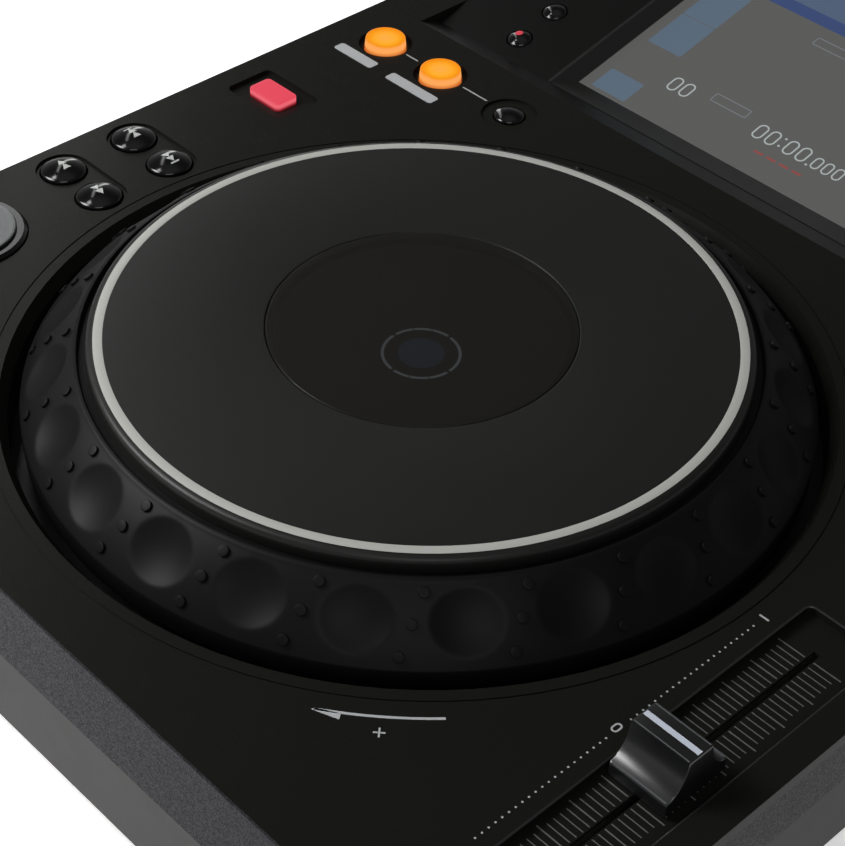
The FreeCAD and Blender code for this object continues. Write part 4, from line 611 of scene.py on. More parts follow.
class PLAYER_OT_dial(bpy.types.Operator):
    """Turns the dial's shell, presses its finger dimples into the flank and sets its studs."""

    bl_idname = "player.dial"
    bl_label = "Dial"

    def execute(self, context):
        c, z = context.scene.player_colours, sizes(context)
        skirt, crown, top, bend = z["skirt_radius"], z["crown_radius"], z["crown_height"], z["flank_radius"]
        foot, head = np.array([skirt, -0.5]), np.array([crown + 0.9, top - 0.75])
        chord = head - foot
        half = np.linalg.norm(chord) / 2
        across = np.array([chord[1], -chord[0]]) / (2 * half)
        middle = (foot + head) / 2 - across * np.sqrt(bend**2 - half**2)
        a, b = (np.degrees(np.arctan2(*(p - middle)[::-1])) for p in (foot, head))
        flank = arc(middle, bend, a, b, 46)
        lip = eased([(crown + 0.9, top - 0.75, 0), (crown + 0.1, top, 0.75), (crown - 0.6, top, 0)], 6)
        inside = [(crown - 1.1, top - 0.5), (crown - 1.1, 13.2), (50, 13.2), (50, 10.2), (crown - 0.6, 10.2)]
        skirts = [(102, -1.5), (102, -7), (skirt - 0.6, -7), (skirt, -6.4), (skirt, -3.4)]
        profile = np.concatenate([flank, lip[1:], inside, skirts])
        points_per_dimple = 42
        rows = turned(profile, z["dimples"] * points_per_dimple)
        rows[: len(flank)] = self.pressed(rows[: len(flank)], z, middle, bend)
        grain = {"drift": 0.2, "spread": 0.08, "grain": 3600.0, "depth": 0.000008}
        finish = plastic("dial_grey", c.dial, 0.46, specular=0.12, **grain)
        shell = Shells().add(rows, wrap=True)
        shell.piece("dial_shell", "jog", on_deck, [finish], "dial_grey", ["jog_dial"], sharp=50)
        studs = Shells()
        first_studs = 15.3
        for k in range(z["dimples"]):
            for radius, turn in ((92.5, 1.6), (98.0, 0.0), (103.0, -1.5)):
                angle = np.radians(first_studs + turn + k * 360 / z["dimples"])
                studs.add(self.stud(radius, angle, z, middle, bend))
        studs.piece("dial_studs", "jog", on_deck, [finish], "dial_grey", sharp=60)
        return {"FINISHED"}

    @staticmethod
    def pressed(rows, z, middle, bend):
        """The flank with dimples: each point sinks along its dimple's axis to the ball, where the ball lies under it.

        With a the point's height over the ball's centre along the axis and b its distance from the axis, the depth is
        a + sqrt(R^2 - b^2), smoothed to half of d + sqrt(d^2 + e^2) so that the rim is soft."""
        radius, depth, soft = z["dimple_radius"], z["dimple_depth"], 0.16
        ball_share, outside, least = 0.8, -9.0, 0.004
        aim = np.array([97.6, 8.0]) - middle
        out = aim / np.linalg.norm(aim)
        centre = middle + out * bend + out * (radius - depth)
        pitch = 2 * np.pi / z["dimples"]
        x, y, high = np.moveaxis(rows, -1, 0)
        r, turn = np.hypot(x, y), np.arctan2(y, x) - DIMPLE_START
        own = turn - np.round(turn / pitch) * pitch
        flat = np.stack([r * np.cos(own) - centre[0], r * np.sin(own), high - centre[1]], -1)
        axis = np.array([out[0], 0.0, out[1]])
        a = flat @ axis
        b2 = (flat**2).sum(-1) - a**2
        deep = a + np.sqrt(np.maximum(radius**2 - b2, 0.0))
        deep = np.where(b2 < radius**2 * ball_share, deep, outside)
        deep = (deep + np.sqrt(deep**2 + soft**2)) / 2
        deep = np.where(deep > least, deep, 0.0)
        moved = flat - deep[..., None] * axis
        px, py, pz = moved[..., 0] + centre[0], moved[..., 1], moved[..., 2] + centre[1]
        back = turn - own + DIMPLE_START
        return np.stack([px * np.cos(back) - py * np.sin(back), px * np.sin(back) + py * np.cos(back), pz], -1)

    @staticmethod
    def stud(radius, angle, z, middle, bend):
        """A small stud: an eased puck turned about the flank's own normal at its radius."""
        height = middle[1] + np.sqrt(bend**2 - (radius - middle[0]) ** 2)
        normal = np.array([radius - middle[0], height - middle[1]]) / bend
        r, rise = z["stud_radius"], z["stud_rise"]
        puck = turned(eased([(r, -0.3, 0), (r, rise, 0.14), (r * 0.35, rise + 0.03, 0)], 4), 20)
        c, s = np.cos(angle), np.sin(angle)
        up = np.array([normal[0] * c, normal[0] * s, normal[1]])
        round_ = np.array([-s, c, 0.0])
        side = np.cross(round_, up)
        base = np.array([radius * c, radius * s, height])
        return base + puck[..., :1] * side + puck[..., 1:2] * round_ + puck[..., 2:] * up


class PLAYER_OT_platter(bpy.types.Operator):
    """Turns the platter with its eased edge, its pale ring, the smoked window and the marks under it."""

    bl_idname = "player.platter"
    bl_label = "Platter and window"

    def execute(self, context):
        c, z = context.scene.player_colours, sizes(context)
        edge, top, win = z["plate_radius"], z["plate_top"], z["window_radius"]
        black = plastic("plate_black", c.plate, 0.4, spread=0.08, grain=4200.0, depth=0.000006, specular=0.3)
        rim = plastic("plate_rim", (0.085, 0.085, 0.085), 0.27, grain=4200.0, depth=0.000006, specular=0.5)
        pale = plastic("pale_ring", c.pale_ring, 0.45, drift=0.06, grain=4200.0)
        seat, ledge, flat, hole, count = 13.2, 15.2, 82.0, 41.0, 288
        outer = eased([(hole + 0.05, seat, 0), (edge, seat, 0.3), (edge, top - 0.1, 1.9), (flat, top, 0)], 9)
        inside = [(hole, ledge, 0), (hole - 2.5, ledge, 0), (hole - 2.5, seat, 0)]
        inner = eased([(flat, top, 0), (hole, top, 0.35), *inside], 5)
        plate = Shells()
        plate.add(turned(np.concatenate([outer, inner[1:]]), count), wrap=True)
        line = [(edge - 2.0, top - 0.03), (edge - 2.0, top + 0.02), (edge - 1.9, top - 0.01)]
        plate.add(turned(line, count), 1, True)
        plate.piece("platter", "jog", on_deck, [black, rim], "plate_grey", ["jog_plate"])
        near, far = z["ring_inner"], z["ring_outer"]
        low, high = top - 0.08, top + 0.05
        band = eased([(near, low, 0), (near, high, 0.03), (far, high, 0.03), (far, low, 0)], 3)
        Shells().add(turned(band, count), wrap=True).piece("pale_ring", "jog", on_deck, [pale])
        smoke = paint((0.135, 0.131, 0.124))
        window = smeared("smoked_window", 0.24, 0.06, 60.0, Base_Color=smoke, Alpha=0.6, Specular_IOR_Level=0.3)
        pane = eased([(0.3, ledge, 0), (win, ledge, 0.1), (win, top, 0.3), (win - 3, top, 0), (0.3, top, 0)], 6)
        glass = Shells().add(turned(pane, 160))
        glass.piece("window_pane", "jog", on_deck, [window], "window_clear", ["jog_window"])
        grey = shown("mark_grey", (0.46, 0.48, 0.5), drift=0.5, grain=900.0)
        blue = shown("mark_blue", (0.13, 0.17, 0.25), drift=0.3, grain=900.0)
        marks = Shells()
        low, high, wide, slim = 7.97, 8.05, 5.4, 1.6
        gaps = {0: wide, 90: wide, 120: slim, 148: slim, 180: wide, 270: wide, 299: slim, 328: slim, 360: wide}
        cuts = list(gaps.items())
        for (a, gap_a), (b, gap_b) in zip(cuts[:-1], cuts[1:]):
            marks.add(sector(9.85, 10.65, a + gap_a / 2, b - gap_b / 2, low, high, 16))
        marks.add(turned([(6.2, low), (6.2, high)], 48), 1)
        marks.piece("centre_marks", "case", on_deck, [grey, blue])
        return {"FINISHED"}


def key_finishes():
    """The glossy black of the keys and the pale ink of their signs."""
    gloss = plastic("key_gloss", (0.035, 0.037, 0.037), 0.12, spread=0.04, depth=0.000001, specular=0.45)
    return gloss, plastic("key_sign", (0.72, 0.73, 0.72), 0.35, drift=0.05)


def key_stem(radius):
    """Profile of a round key's stem, and of its flange, which stands out past the key's radius."""
    flange = radius + FLANGE_REACH
    return [(STEM_RADIUS, KEY_FOOT), (STEM_RADIUS, FLANGE_LOW), (flange, FLANGE_LOW), (flange, FLANGE_HIGH)]


def bar_key(body, centre, width, depth, corner):
    """A key that isn't round: its body, a rounded flange and a round stem."""
    flange = block(width, depth, corner, [(0, FLANGE_LOW), (0, FLANGE_HIGH)], centre)
    stem = turned([(STEM_RADIUS, KEY_FOOT), (STEM_RADIUS, FLANGE_LOW)], 24, centre)
    return Shells().add(body).add(flange).add(stem)


def key_profile(radius, high, crown, ease, steps=9):
    """Profile of a round key: stem, flange, wall, an eased shoulder, and a dome that falls by crown times the
    square of the distance over the radius."""
    wall = eased([(radius, FLANGE_HIGH, 0), (radius, high - crown, ease), (radius * 0.9, high - crown * 0.81, 0)], 6)
    rho = np.linspace(radius * 0.9, radius * 0.12, steps)[1:]
    return np.concatenate([key_stem(radius), wall, np.stack([rho, high - crown * (rho / radius) ** 2], -1)])


def lifted(rows, centre, high, crown, radius, rise=0.13):
    """A flat sign laid on a dome: each point lifted to the dome's height there, plus rise for its top face."""
    out = np.array(rows, float)
    d2 = ((out[..., :2] - centre) ** 2).sum(-1)
    out[..., 2] = high - crown * d2 / radius**2 + np.where(out[..., 2] > 0, rise, -0.2)
    return out


def triangle(tip, base, half):
    """Three sides of a triangle with its tip on the line, cut into short runs so that it can lie on a dome."""
    corners = np.array([[tip, 0.0], [base, half], [base, -half]])
    return np.concatenate([np.linspace(corners[i], corners[(i + 1) % 3], 5)[:-1] for i in range(3)])


class PLAYER_OT_round_keys(bpy.types.Operator):
    """Turns the small glossy keys with their domes, and lays the track and search signs on theirs."""

    bl_idname = "player.round_keys"
    bl_label = "Round keys"

    def execute(self, context):
        z = sizes(context)
        gloss, sign = key_finishes()
        track, small, large, crown = z["track_radius"], z["small_radius"], z["large_radius"], z["crown"]
        high, dome = 2.0, crown + 0.4
        for name, way, y, barred in (
            ("track_back", -1, 13.0, True),
            ("track_forward", 1, 13.0, True),
            ("search_back", -1, -13.2, False),
            ("search_forward", 1, -13.2, False),
        ):
            centre = np.array([LEFT_KEYS + way * 8.75, y])
            key = Shells().add(turned(key_profile(track, high, dome, 0.7), 96, centre))
            shapes = [triangle(way * 0.1, way * -2.3, 1.35), triangle(way * 2.5, way * 0.1, 1.35)]
            if barred:
                shapes.append(outline(0.55, 2.9, 0.05, 3) + np.array([way * 2.9, 0.0]))
            for shape in shapes:
                flat = sheeted(shape + centre, -1.0, 1.0)
                key.add(lifted(flat, centre, high, dome, track), 1, support=0.5)
            key.piece(f"{name}_key", name, on_deck, [gloss, sign], "key_black", [f"{name}_button"])
        for name, x, y, radius, high, place in (
            ("reloop", -75.2, TOP_ROW, large, 1.3, on_deck),
            ("call_back", 64.0, TOP_ROW, small, 1.6, on_deck),
            ("call_forward", 84.0, TOP_ROW, small, 1.6, on_deck),
            ("memory", 106.0, TOP_ROW, small, 1.6, on_deck),
            ("master_tempo", RIGHT_KEYS, 35.7, large, 1.7, on_deck),
            ("tempo_range", RIGHT_KEYS, 60.3, small, 1.6, on_deck),
            ("jog_mode", RIGHT_KEYS, 84.9, small, 1.6, on_deck),
            ("time_mode", -106.5, 12.9, small, 1.6, on_panel),
            ("quantize", -106.5, -4.0, small, 1.6, on_panel),
            ("back", 108.0, 33.986, small, 1.6, on_panel),
        ):
            key = Shells().add(turned(key_profile(radius, high, crown, 0.6), 72, (x, y)))
            key.piece(f"{name}_key", name, place, [gloss], "key_black", [f"{name}_button"])
        red = shown("lamp_red", (0.78, 0.22, 0.28), base=(0.2, 0.02, 0.02))
        dot = turned([(1.3, -1.0), (1.3, 0.5), (1.1, 1.0)], 24, (-107.3, -3.1))
        dot = lifted(dot, np.array([-106.5, -4.0]), 1.6, crown, small, 0.18)
        Shells().add(dot, support=0.5).piece("quantize_lamp", "quantize", on_panel, [red])
        return {"FINISHED"}


class PLAYER_OT_lit_keys(bpy.types.Operator):
    """Makes the lit loop keys with their dished tops, and the lit direction key."""

    bl_idname = "player.lit_keys"
    bl_label = "Lit keys"

    def execute(self, context):
        c, z = context.scene.player_colours, sizes(context)
        r, high = z["lit_radius"], 2.2
        deck = on_deck([0, 0, 0])[2]
        for name, x in (("loop_in", LEFT_KEYS), ("loop_out", -106.4)):
            lamp = tuple(on_deck([x + 0.6, 109.0, high]))
            rim, side, edge = (0.78, 0.38, 0.13), (1.0, 0.66, 0.36), (0.93, 0.45, 0.02)
            low, top = deck - 1.5 * MM, deck + (high - 0.05) * MM
            orange = glow(f"{name}_orange", rim, side, edge, c.lit_orange, low, top, lamp)
            wall = [(r, FLANGE_HIGH, 0), (r, -0.6, 0.3), (r - 0.3, high, 0.5)]
            dish = [(r - 1.4, high, 0.3), (0.8, high - 0.4, 0)]
            profile = np.concatenate([key_stem(r), eased(wall + dish, 7)])
            key = Shells().add(turned(profile, 96, (x, TOP_ROW)))
            key.piece(f"{name}_key", name, on_deck, [orange], "key_orange", [f"{name}_button"])
        centre, lamp = (LEFT_KEYS, 61.25), tuple(on_deck([-131, 60, 1.2]))
        rim, side, edge = (0.45, 0.06, 0.10), (0.93, 0.40, 0.45), (0.86, 0.30, 0.36)
        low, top = deck - 1.4 * MM, deck + 1.0 * MM
        red = glow("direction_red", rim, side, edge, c.lit_red, low, top, lamp, 0.014)
        body = edged(14.2, 8.6, 1.5, FLANGE_HIGH, 1.2, 0.5, centre, 8, 6)
        key = bar_key(body, centre, 16.6, 11.0, 2.6)
        key.piece("direction_key", "direction", on_deck, [red], "key_red", ["direction_button"])
        return {"FINISHED"}


class PLAYER_OT_transport_caps(bpy.types.Operator):
    """Turns the two silver transport caps with their dished faces and lays the play and cue signs."""

    bl_idname = "player.transport_caps"
    bl_label = "Transport caps"

    def execute(self, context):
        z = sizes(context)
        r = z["cap_radius"]
        sign = plastic("cap_sign", (0.16, 0.16, 0.17), 0.4)
        for name, y in (("cue", -53.0), ("play", -92.0)):
            centre = (LEFT_KEYS, y)
            metal = turned_metal(f"{name}_silver", (0.43, 0.44, 0.44), 0.3, tuple(on_deck([*centre, 0])))
            profile = eased([(r, 1.4, 0), (r, 2.3, 0.4), (r - 2.0, 2.3, 0.8), (1.5, 1.95, 0)], 6)
            cap = Shells().add(turned(profile, 128, centre))
            if name == "play":
                shapes = [triangle(-0.4, -3.6, 2.1) + centre]
                shapes += [outline(0.8, 4.2, 0.1, 3) + np.add(centre, (dx, 0)) for dx in (1.2, 2.9)]
            else:
                shapes = [outline(4.6, 0.8, 0.1, 3) + centre]
            for shape in shapes:
                cap.add(sheeted(shape, 1.9, 2.07), 1, support=0.6)
            cap.piece(f"{name}_silver_cap", name, on_deck, [metal, sign], "cap_silver", [f"{name}_cap"])
        return {"FINISHED"}


def fluted(profile, centre, flutes, depth, first, last, count):
    """A turned profile whose rows from first up to last are drawn in by depth times one less the sine of half the
    flutes' angle to the power 0.7, so that round ribs stand between narrow grooves."""
    rows = turned(profile, count)
    a = np.arange(count) * (2 * np.pi / count)
    wave = depth * np.abs(np.sin(a * flutes / 2)) ** 0.7
    r = np.hypot(rows[first:last, :, 0], rows[first:last, :, 1])
    rows[first:last, :, :2] *= (1 - (depth - wave) / r)[..., None]
    return rows + np.array([centre[0], centre[1], 0.0])


class PLAYER_OT_knobs(bpy.types.Operator):
    """Makes the fluted brake knob and the fluted selector with its dished face."""

    bl_idname = "player.knobs"
    bl_label = "Knobs"

    def execute(self, context):
        rubber = plastic("knob_black", (0.1, 0.1, 0.1), 0.5)
        mark = plastic("knob_mark", (0.75, 0.75, 0.74), 0.5)
        low, high = (np.array(p) / MM - DECK_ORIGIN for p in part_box("brake_knob"))
        r, x, y = (high[0] - low[0]) / 2, (high[0] + low[0]) / 2, (high[1] + low[1]) / 2
        stem = [(2.6, low[2]), (2.6, -0.9), (r - 0.4, -0.9)]
        side = [(r, -0.5), (r, 3.0), (r, 6.5), (r - 0.15, high[2] - 1.0)]
        face = [(r - 0.9, high[2] - 0.2), (r - 1.6, high[2]), (r - 2.4, high[2] - 0.05), (1.0, high[2] - 0.3)]
        knob = Shells().add(fluted(stem + side + face, (x, y), 24, 0.35, 3, 7, 240))
        knob.add(bar((x, y + 1.5), (x, y + r - 1.3), 0.8, high[2] - 0.5, high[2]), 1, support=0.6)
        knob.piece("brake_knob_fluted", "brake", on_deck, [rubber, mark], "rubber_black", ["brake_knob"])
        base, r, top = (108.0, 69.986), 14.0, 17.3
        stem = [(3.1, 2.2), (10.0, 2.0), (r - 1.0, 1.6)]
        side = [(r, 2.4), (r, 7.0), (r, 12.0), (r - 0.2, top - 1.8)]
        face = [(r - 0.9, top - 0.5), (r - 1.9, top), (r - 3.0, top - 0.05), (r - 4.5, top - 0.6), (2.0, top - 1.0)]
        knob = Shells().add(fluted(stem + side + face, base, 40, 0.45, 3, 7, 400))
        knob.piece("selector_fluted", "selector", on_panel, [rubber], "rubber_black", ["selector_knob"])
        return {"FINISHED"}


class PLAYER_OT_fader(bpy.types.Operator):
    """Makes the fader's cap with its hollow flanks and pale lines, and the scale in its well."""

    bl_idname = "player.fader"
    bl_label = "Tempo fader"

    def execute(self, context):
        z = sizes(context)
        x0, y0 = RIGHT_KEYS, FADER_MIDDLE
        foot, head, high, half = z["cap_foot"] / 2, z["cap_top"] / 2, z["cap_height"], z["cap_width"] / 2
        black = plastic("cap_black", (0.07, 0.072, 0.075), 0.3, spread=0.03, depth=0.000001, specular=0.9)
        pale = plastic("cap_line", (0.78, 0.81, 0.86), 0.4, drift=0.03)
        dull = plastic("cap_edge_line", (0.36, 0.37, 0.38), 0.4, drift=0.03)
        t = np.linspace(0, 1, 14)[:, None]
        ends = np.array([[foot - 0.6, 2.4], [head + 1.1, 4.0], [head + 0.25, high]])
        flank = (1 - t) ** 2 * ends[0] + 2 * t * (1 - t) * ends[1] + t**2 * ends[2]
        base = [(foot, -1.4), (foot, 1.7), (foot - 0.15, 2.1), (foot - 0.4, 2.35)]
        right = np.concatenate([base, flank, [(head, high)]])
        loop = np.concatenate([right, right[::-1] * [-1, 1]])
        middle = np.array([0.0, 4.0])
        shares = ((0.0, 0.94), (0.12, 0.98), (0.45, 1))
        stations = [(-half + d, share) for d, share in shares] + [(half - d, share) for d, share in shares[::-1]]
        body = [
            np.column_stack([np.full(len(loop), x0 + x), middle + (loop - middle) * share])
            + np.array([0.0, y0, 0.0])
            for x, share in stations
        ]
        cap = Shells().add(np.array(body))
        cap.add(bar((x0 - half + 0.5, y0), (x0 + half - 0.5, y0), 1.5, high - 0.3, high + 0.06), 1, support=0.9)
        cap.add(bar((x0 - 1.0, y0), (x0 + 1.0, y0), 0.1, -1.3, 0.0), 0, support=0.5)
        for way in (-1, 1):
            line = y0 + way * (head - 0.2)
            cap.add(bar((x0 - half + 0.5, line), (x0 + half - 0.5, line), 0.3, high - 0.3, high + 0.03), 2)
            line = y0 + way * (foot - 0.5)
            cap.add(bar((x0 - half + 0.6, line), (x0 + half - 0.6, line), 0.4, 1.8, 2.47), 2)
        cap.piece("tempo_cap", "tempo_fader", on_deck, [black, pale, dull], "gloss_black", ["tempo_fader_cap"])
        ink = plastic("well_ink", (0.36, 0.37, 0.37), 0.5, drift=0.1)
        scale = Shells()
        for k in range(z["lines"]):
            y = -1.3 - k * z["line_pitch"]
            reach, width = (8.2, 0.36) if k % 5 == 0 else (7.1, 0.28)
            for way in (-1, 1):
                scale.add(bar((x0 + way * 1.3, y), (x0 + way * (1.0 + reach), y), width, -2.5, -2.36))
        scale.piece("well_scale", "case", on_deck, [ink])
        lip = plastic("lip_black", (0.13, 0.13, 0.13), 0.2, spread=0.03, depth=0.000001, specular=0.8)
        levels = [(-0.3, -0.02), (-0.25, 0.03), (0.02, 0.02), (0.14, -0.05), (0.22, -0.18)]
        levels += [(0.25, -0.4), (0.02, -0.4)]
        rim = block(22.0, 124.8, 2.0, levels, (133.4, FADER_MIDDLE), 8)
        Shells().add(rim, wrap=True).piece("well_lip", "case", on_deck, [lip])
        return {"FINISHED"}


class PLAYER_OT_marks(bpy.types.Operator):
    """Prints the deck's plain marks: the dotted line, ticks, nought, pills, link lines, arrow and plus."""

    bl_idname = "player.marks"
    bl_label = "Deck marks"

    def execute(self, context):
        ink = plastic("mark_ink", context.scene.player_colours.print_grey, 0.5, drift=0.05)
        low, high = -0.05, 0.05
        dots, dot_pitch, nought_gap = 46, 2.03, 3.0
        marks = Shells()
        for k in range(dots):
            y = -4.5 - k * dot_pitch
            if abs(y - FADER_MIDDLE) > nought_gap:
                marks.add(turned([(0.27, low), (0.27, high)], 10, (118.0, y)), support=0.5)
        marks.add(ring(2.0, 3.0, 1.0, 0.45, low, high, (117.5, FADER_MIDDLE)), wrap=True)
        for y in (-0.6, -102.0):
            marks.add(bar((116.6, y), (119.4, y), 0.5, low, high))
        for a, b in ((-141.5, -124.0), (-117.0, -96.0)):
            marks.add(block(b - a, 4.3, 1.0, [(0, low), (0, high)], ((a + b) / 2, 96.85)))
        for a, b in ((-122.5, -117.0), (-96.0, -85.3)):
            marks.add(bar((a, 109.6), (b, 109.6), 0.5, low, high))
        marks.add(sector(118.65, 119.35, 305.1, 319.3, low, high, 32))
        tip = np.radians(305.1)
        out, along = np.array([np.cos(tip), np.sin(tip)]), np.array([-np.sin(tip), np.cos(tip)])
        head = [out * r + along * a for r, a in ((119.3, -0.6), (118.65, 0.2), (119.1, 6.2), (120.9, 6.2))]
        marks.add(sheeted(head, low, high), support=0.6)
        plus = np.array([83.3, -91.3])
        way, turn = plus / np.hypot(*plus), np.array([plus[1], -plus[0]]) / np.hypot(*plus)
        marks.add(bar(plus - 1.4 * way, plus + 1.4 * way, 0.45, low, high))
        for side in (turn, -turn):
            marks.add(bar(plus + 0.3 * side, plus + 1.4 * side, 0.45, low, high))
        marks.piece("deck_marks", "case", on_deck, [ink])
        return {"FINISHED"}


class PLAYER_OT_screen(bpy.types.Operator):
    """Lays the lit screen's plain blocks, boxes and noughts on the display behind the glass."""

    bl_idname = "player.screen"
    bl_label = "Screen image"

    def execute(self, context):
        c = context.scene.player_colours
        block_blue = shown("screen_block", (0.345, 0.41, 0.475))
        header = shown("screen_header", (0.21, 0.28, 0.45))
        header_pale = shown("screen_header_pale", (0.31, 0.37, 0.47))
        ground = shown("screen_ground", c.screen)
        pale = shown("screen_pale", (0.66, 0.69, 0.69))
        dim = shown("screen_dim", (0.46, 0.48, 0.5))
        red = shown("screen_red", (0.55, 0.27, 0.25))
        low, high = -6.52, -6.44
        face = Shells()

        def plate(a, b, s, t, kind, corner=0.4):
            face.add(block(b - a, t - s, corner, [(0, low), (0, high)], ((a + b) / 2, (s + t) / 2), 3), kind)

        def frame_line(a, b, s, t, kind, band=0.28):
            rows = ring(b - a, t - s, 0.5, band, low, high, ((a + b) / 2, (s + t) / 2), 3)
            face.add(rows, kind, wrap=True)

        def nought(x, s, width, height, kind=2, band=0.52):
            rows = ring(width, height, width / 2, band, low, high, (x, s), 8)
            face.add(rows, kind, wrap=True)

        face.add(block(162.0, 93.0, 0.4, [(0, low - 0.2), (0, low - 0.01)], (0.0, 41.0), 3), 5)
        for s, t in ((-1.1, 8.9), (26.2, 43.4), (43.7, 62.0), (62.3, 80.0)):
            plate(-77.2, -63.2, s, t, 0)
        plate(-60.5, 78.0, 65.6, 70.5, 1)
        plate(-60.5, 78.0, 70.5, 84.4, 6)
        for x in (-55.6, -50.6):
            nought(x, 15.4, 3.8, 6.7)
        for x in (-19.4, -14.4, -7.2, -2.2):
            nought(x, 14.6, 3.8, 6.7)
        for x in (3.6, 7.7, 11.8):
            nought(x, 14.0, 3.1, 5.4, band=0.48)
        for s in (12.6, 16.4):
            plate(-11.2, -10.4, s, s + 0.8, 2, 0.3)
        plate(0.7, 1.5, 11.2, 12.0, 2, 0.3)
        frame_line(-41.9, -27.4, 16.3, 20.3, 3)
        for a in (-15.5, -10.5, -5.5, -0.5):
            plate(a, a + 3.6, 6.4, 7.2, 4, 0.2)
        frame_line(22.0, 36.0, 16.3, 20.3, 3)
        frame_line(48.0, 74.0, 10.0, 20.0, 3)
        frame_line(-33.5, -10.0, 56.8, 60.6, 3)
        face.piece("screen_image", "case", on_panel, [block_blue, header, pale, dim, red, ground, header_pale])
        return {"FINISHED"}


class PLAYER_OT_panel_keys(bpy.types.Operator):
    """Makes the three bar keys above the screen."""

    bl_idname = "player.panel_keys"
    bl_label = "Bar keys"

    def execute(self, context):
        for name, x in (("browse_left", -52.0), ("browse_middle", 0.0), ("browse_right", 52.0)):
            centre = (x, 97.586)
            body = edged(24.0, 6.6, 1.6, FLANGE_HIGH, 1.6, 0.7, centre, 8, 6)
            key = bar_key(body, centre, 26.4, 9.0, 2.2)
            key.piece(f"{name}_key", name, on_panel, key_finishes(), "key_black", [f"{name}_button"])
        return {"FINISHED"}


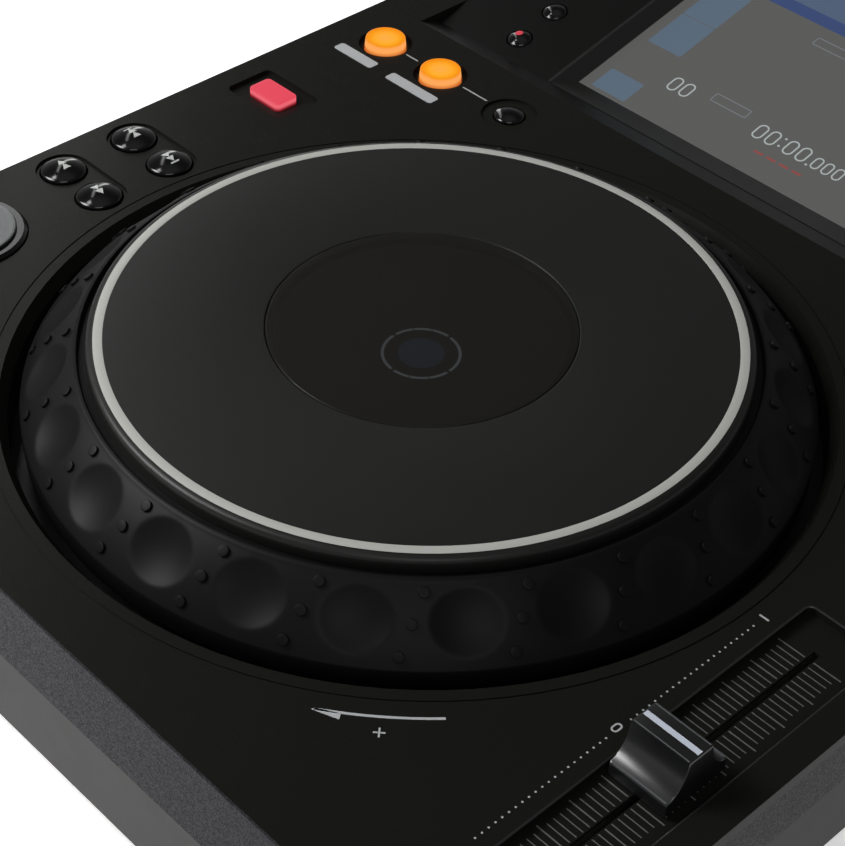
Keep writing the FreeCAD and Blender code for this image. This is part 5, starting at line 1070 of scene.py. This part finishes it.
class PLAYER_OT_stage(bpy.types.Operator):
    """Sets the pale floor, the soft studio light and the camera at the photograph's angle."""

    bl_idname = "player.stage"
    bl_label = "Stage"

    def execute(self, context):
        scene = context.scene
        floor_skin, tree, surface = shader("floor_pale", Base_Color=(0.82, 0.82, 0.82, 1), Roughness=0.9)
        path = step(tree, "LightPath").outputs
        seen = maths(tree, "MAXIMUM", path["Is Camera Ray"], path["Is Glossy Ray"])
        seen = maths(tree, "MAXIMUM", seen, path["Is Transmission Ray"])
        surface.inputs["Emission Color"].default_value = (1, 1, 1, 1)
        tree.links.new(maths(tree, "MULTIPLY", seen, 0.5), surface.inputs["Emission Strength"])
        floor = bpy.data.meshes.new("floor")
        a = np.arange(64) * (2 * np.pi / 64)
        points = np.stack([12 * np.cos(a), 12 * np.sin(a), np.full(64, -0.0005)], -1)
        floor.from_pydata(points.tolist(), [], [list(range(64))])
        floor.materials.append(floor_skin)
        ground = bpy.data.objects.new("floor", floor)
        scene.collection.objects.link(ground)
        world = bpy.data.worlds.new("studio")
        world.use_nodes = True
        scene.world = world
        tree = world.node_tree
        up = step(tree, "SeparateXYZ", {0: step(tree, "TexCoord").outputs["Generated"]}).outputs[2]
        ramp = step(tree, "ValToRGB", {0: up})
        stops = ramp.color_ramp.elements
        greys = {0.0: 0.35, 0.2: 0.28, 0.35: 0.2, 0.5: 0.13, 0.62: 0.08, 0.72: 0.05, 0.86: 0.09}
        for place, grey in greys.items():
            stop = stops[0] if place == 0.0 else stops.new(place)
            stop.position, stop.color = place, (grey, grey, grey, 1)
        stops[-1].color = (0.3, 0.3, 0.3, 1)
        seen = step(tree, "LightPath").outputs["Is Camera Ray"]
        sky = mixed(tree, seen, ramp.outputs[0], (1, 1, 1, 1))
        tree.links.new(sky, tree.nodes["Background"].inputs["Color"])
        for name, spot, along, size, power in (
            ("key_box", (-0.42, -0.42, 0.55), (0.6, -0.6, 0.0), (0.3, 0.35), 4.6),
            ("strip", (-0.745, 0.287, 0.482), (0.25, -0.588, 0.841), (0.07, 1.06), 0.7),
            ("strip_end", (-0.528, -0.216, 0.92), (0.25, -0.588, 0.841), (0.12, 0.14), 0.5),
            ("fill_box", (0.9, -0.9, 1.2), (0.6, 0.6, 0.0), (0.9, 0.9), 5.0),
        ):
            lamp = bpy.data.lights.new(name, "AREA")
            lamp.shape, lamp.size, lamp.size_y, lamp.energy = "RECTANGLE", size[0], size[1], power
            holder = bpy.data.objects.new(name, lamp)
            back = np.array(spot) - np.array([0, -0.03, 0.07])
            back /= np.linalg.norm(back)
            side = np.cross(along, back)
            side /= np.linalg.norm(side)
            turn = Matrix([list(v) for v in zip(side, np.cross(back, side), back)])
            holder.visible_camera = False
            holder.matrix_world = Matrix.Translation(spot) @ turn.to_4x4()
            scene.collection.objects.link(holder)
        lens = bpy.data.cameras.new("camera")
        lens.lens, lens.sensor_width, lens.clip_start, lens.clip_end = 87.88, 36.0, 0.01, 40.0
        lens.dof.use_dof = False
        view = bpy.data.objects.new("camera", lens)
        yaw, pitch, roll = np.radians([-45.16, 40.85, 2.11])
        ahead = np.array([np.sin(yaw) * np.cos(pitch), np.cos(yaw) * np.cos(pitch), -np.sin(pitch)])
        right = np.array([np.cos(yaw), -np.sin(yaw), 0.0])
        high = np.cross(right, ahead)
        right, high = np.cos(roll) * right + np.sin(roll) * high, np.cos(roll) * high - np.sin(roll) * right
        turn = Matrix([list(v) for v in zip(right, high, -ahead)])
        view.matrix_world = Matrix.Translation((0.3003, -0.3602, 0.4201)) @ turn.to_4x4()
        scene.collection.objects.link(view)
        scene.camera = view
        scene.view_settings.view_transform = "Standard"
        return {"FINISHED"}


# ---------------------------------------------------------------- panel and start

OPERATORS = (
    PLAYER_OT_finishes,
    PLAYER_OT_dial,
    PLAYER_OT_platter,
    PLAYER_OT_transport_caps,
    PLAYER_OT_round_keys,
    PLAYER_OT_lit_keys,
    PLAYER_OT_panel_keys,
    PLAYER_OT_knobs,
    PLAYER_OT_fader,
    PLAYER_OT_marks,
    PLAYER_OT_screen,
    PLAYER_OT_stage,
)
GROUPS = (
    ("player_dial", DialSizes),
    ("player_keys", KeySizes),
    ("player_fader", FaderSizes),
    ("player_colours", Colours),
)


class PLAYER_PT_pieces(bpy.types.Panel):
    """Lists the player's pieces and their sizes and colours."""

    bl_idname = "PLAYER_PT_pieces"
    bl_label = "Disc player"
    bl_space_type = "VIEW_3D"
    bl_region_type = "UI"
    bl_category = "Player"

    def draw(self, context):
        for operator in OPERATORS:
            self.layout.operator(operator.bl_idname)
        for name, group in GROUPS:
            box = self.layout.box()
            for key in group.__annotations__:
                box.prop(getattr(context.scene, name), key)


def register():
    for name, group in GROUPS:
        bpy.utils.register_class(group)
        setattr(bpy.types.Scene, name, PointerProperty(type=group))
    for operator in OPERATORS:
        bpy.utils.register_class(operator)
    bpy.utils.register_class(PLAYER_PT_pieces)


def unregister():
    bpy.utils.unregister_class(PLAYER_PT_pieces)
    for operator in reversed(OPERATORS):
        bpy.utils.unregister_class(operator)
    for name, group in reversed(GROUPS):
        delattr(bpy.types.Scene, name)
        bpy.utils.unregister_class(group)


def main():
    """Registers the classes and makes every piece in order."""
    register()
    for operator in OPERATORS:
        group, name = operator.bl_idname.split(".")
        getattr(getattr(bpy.ops, group), name)()


if __name__ == "__main__":
    main()
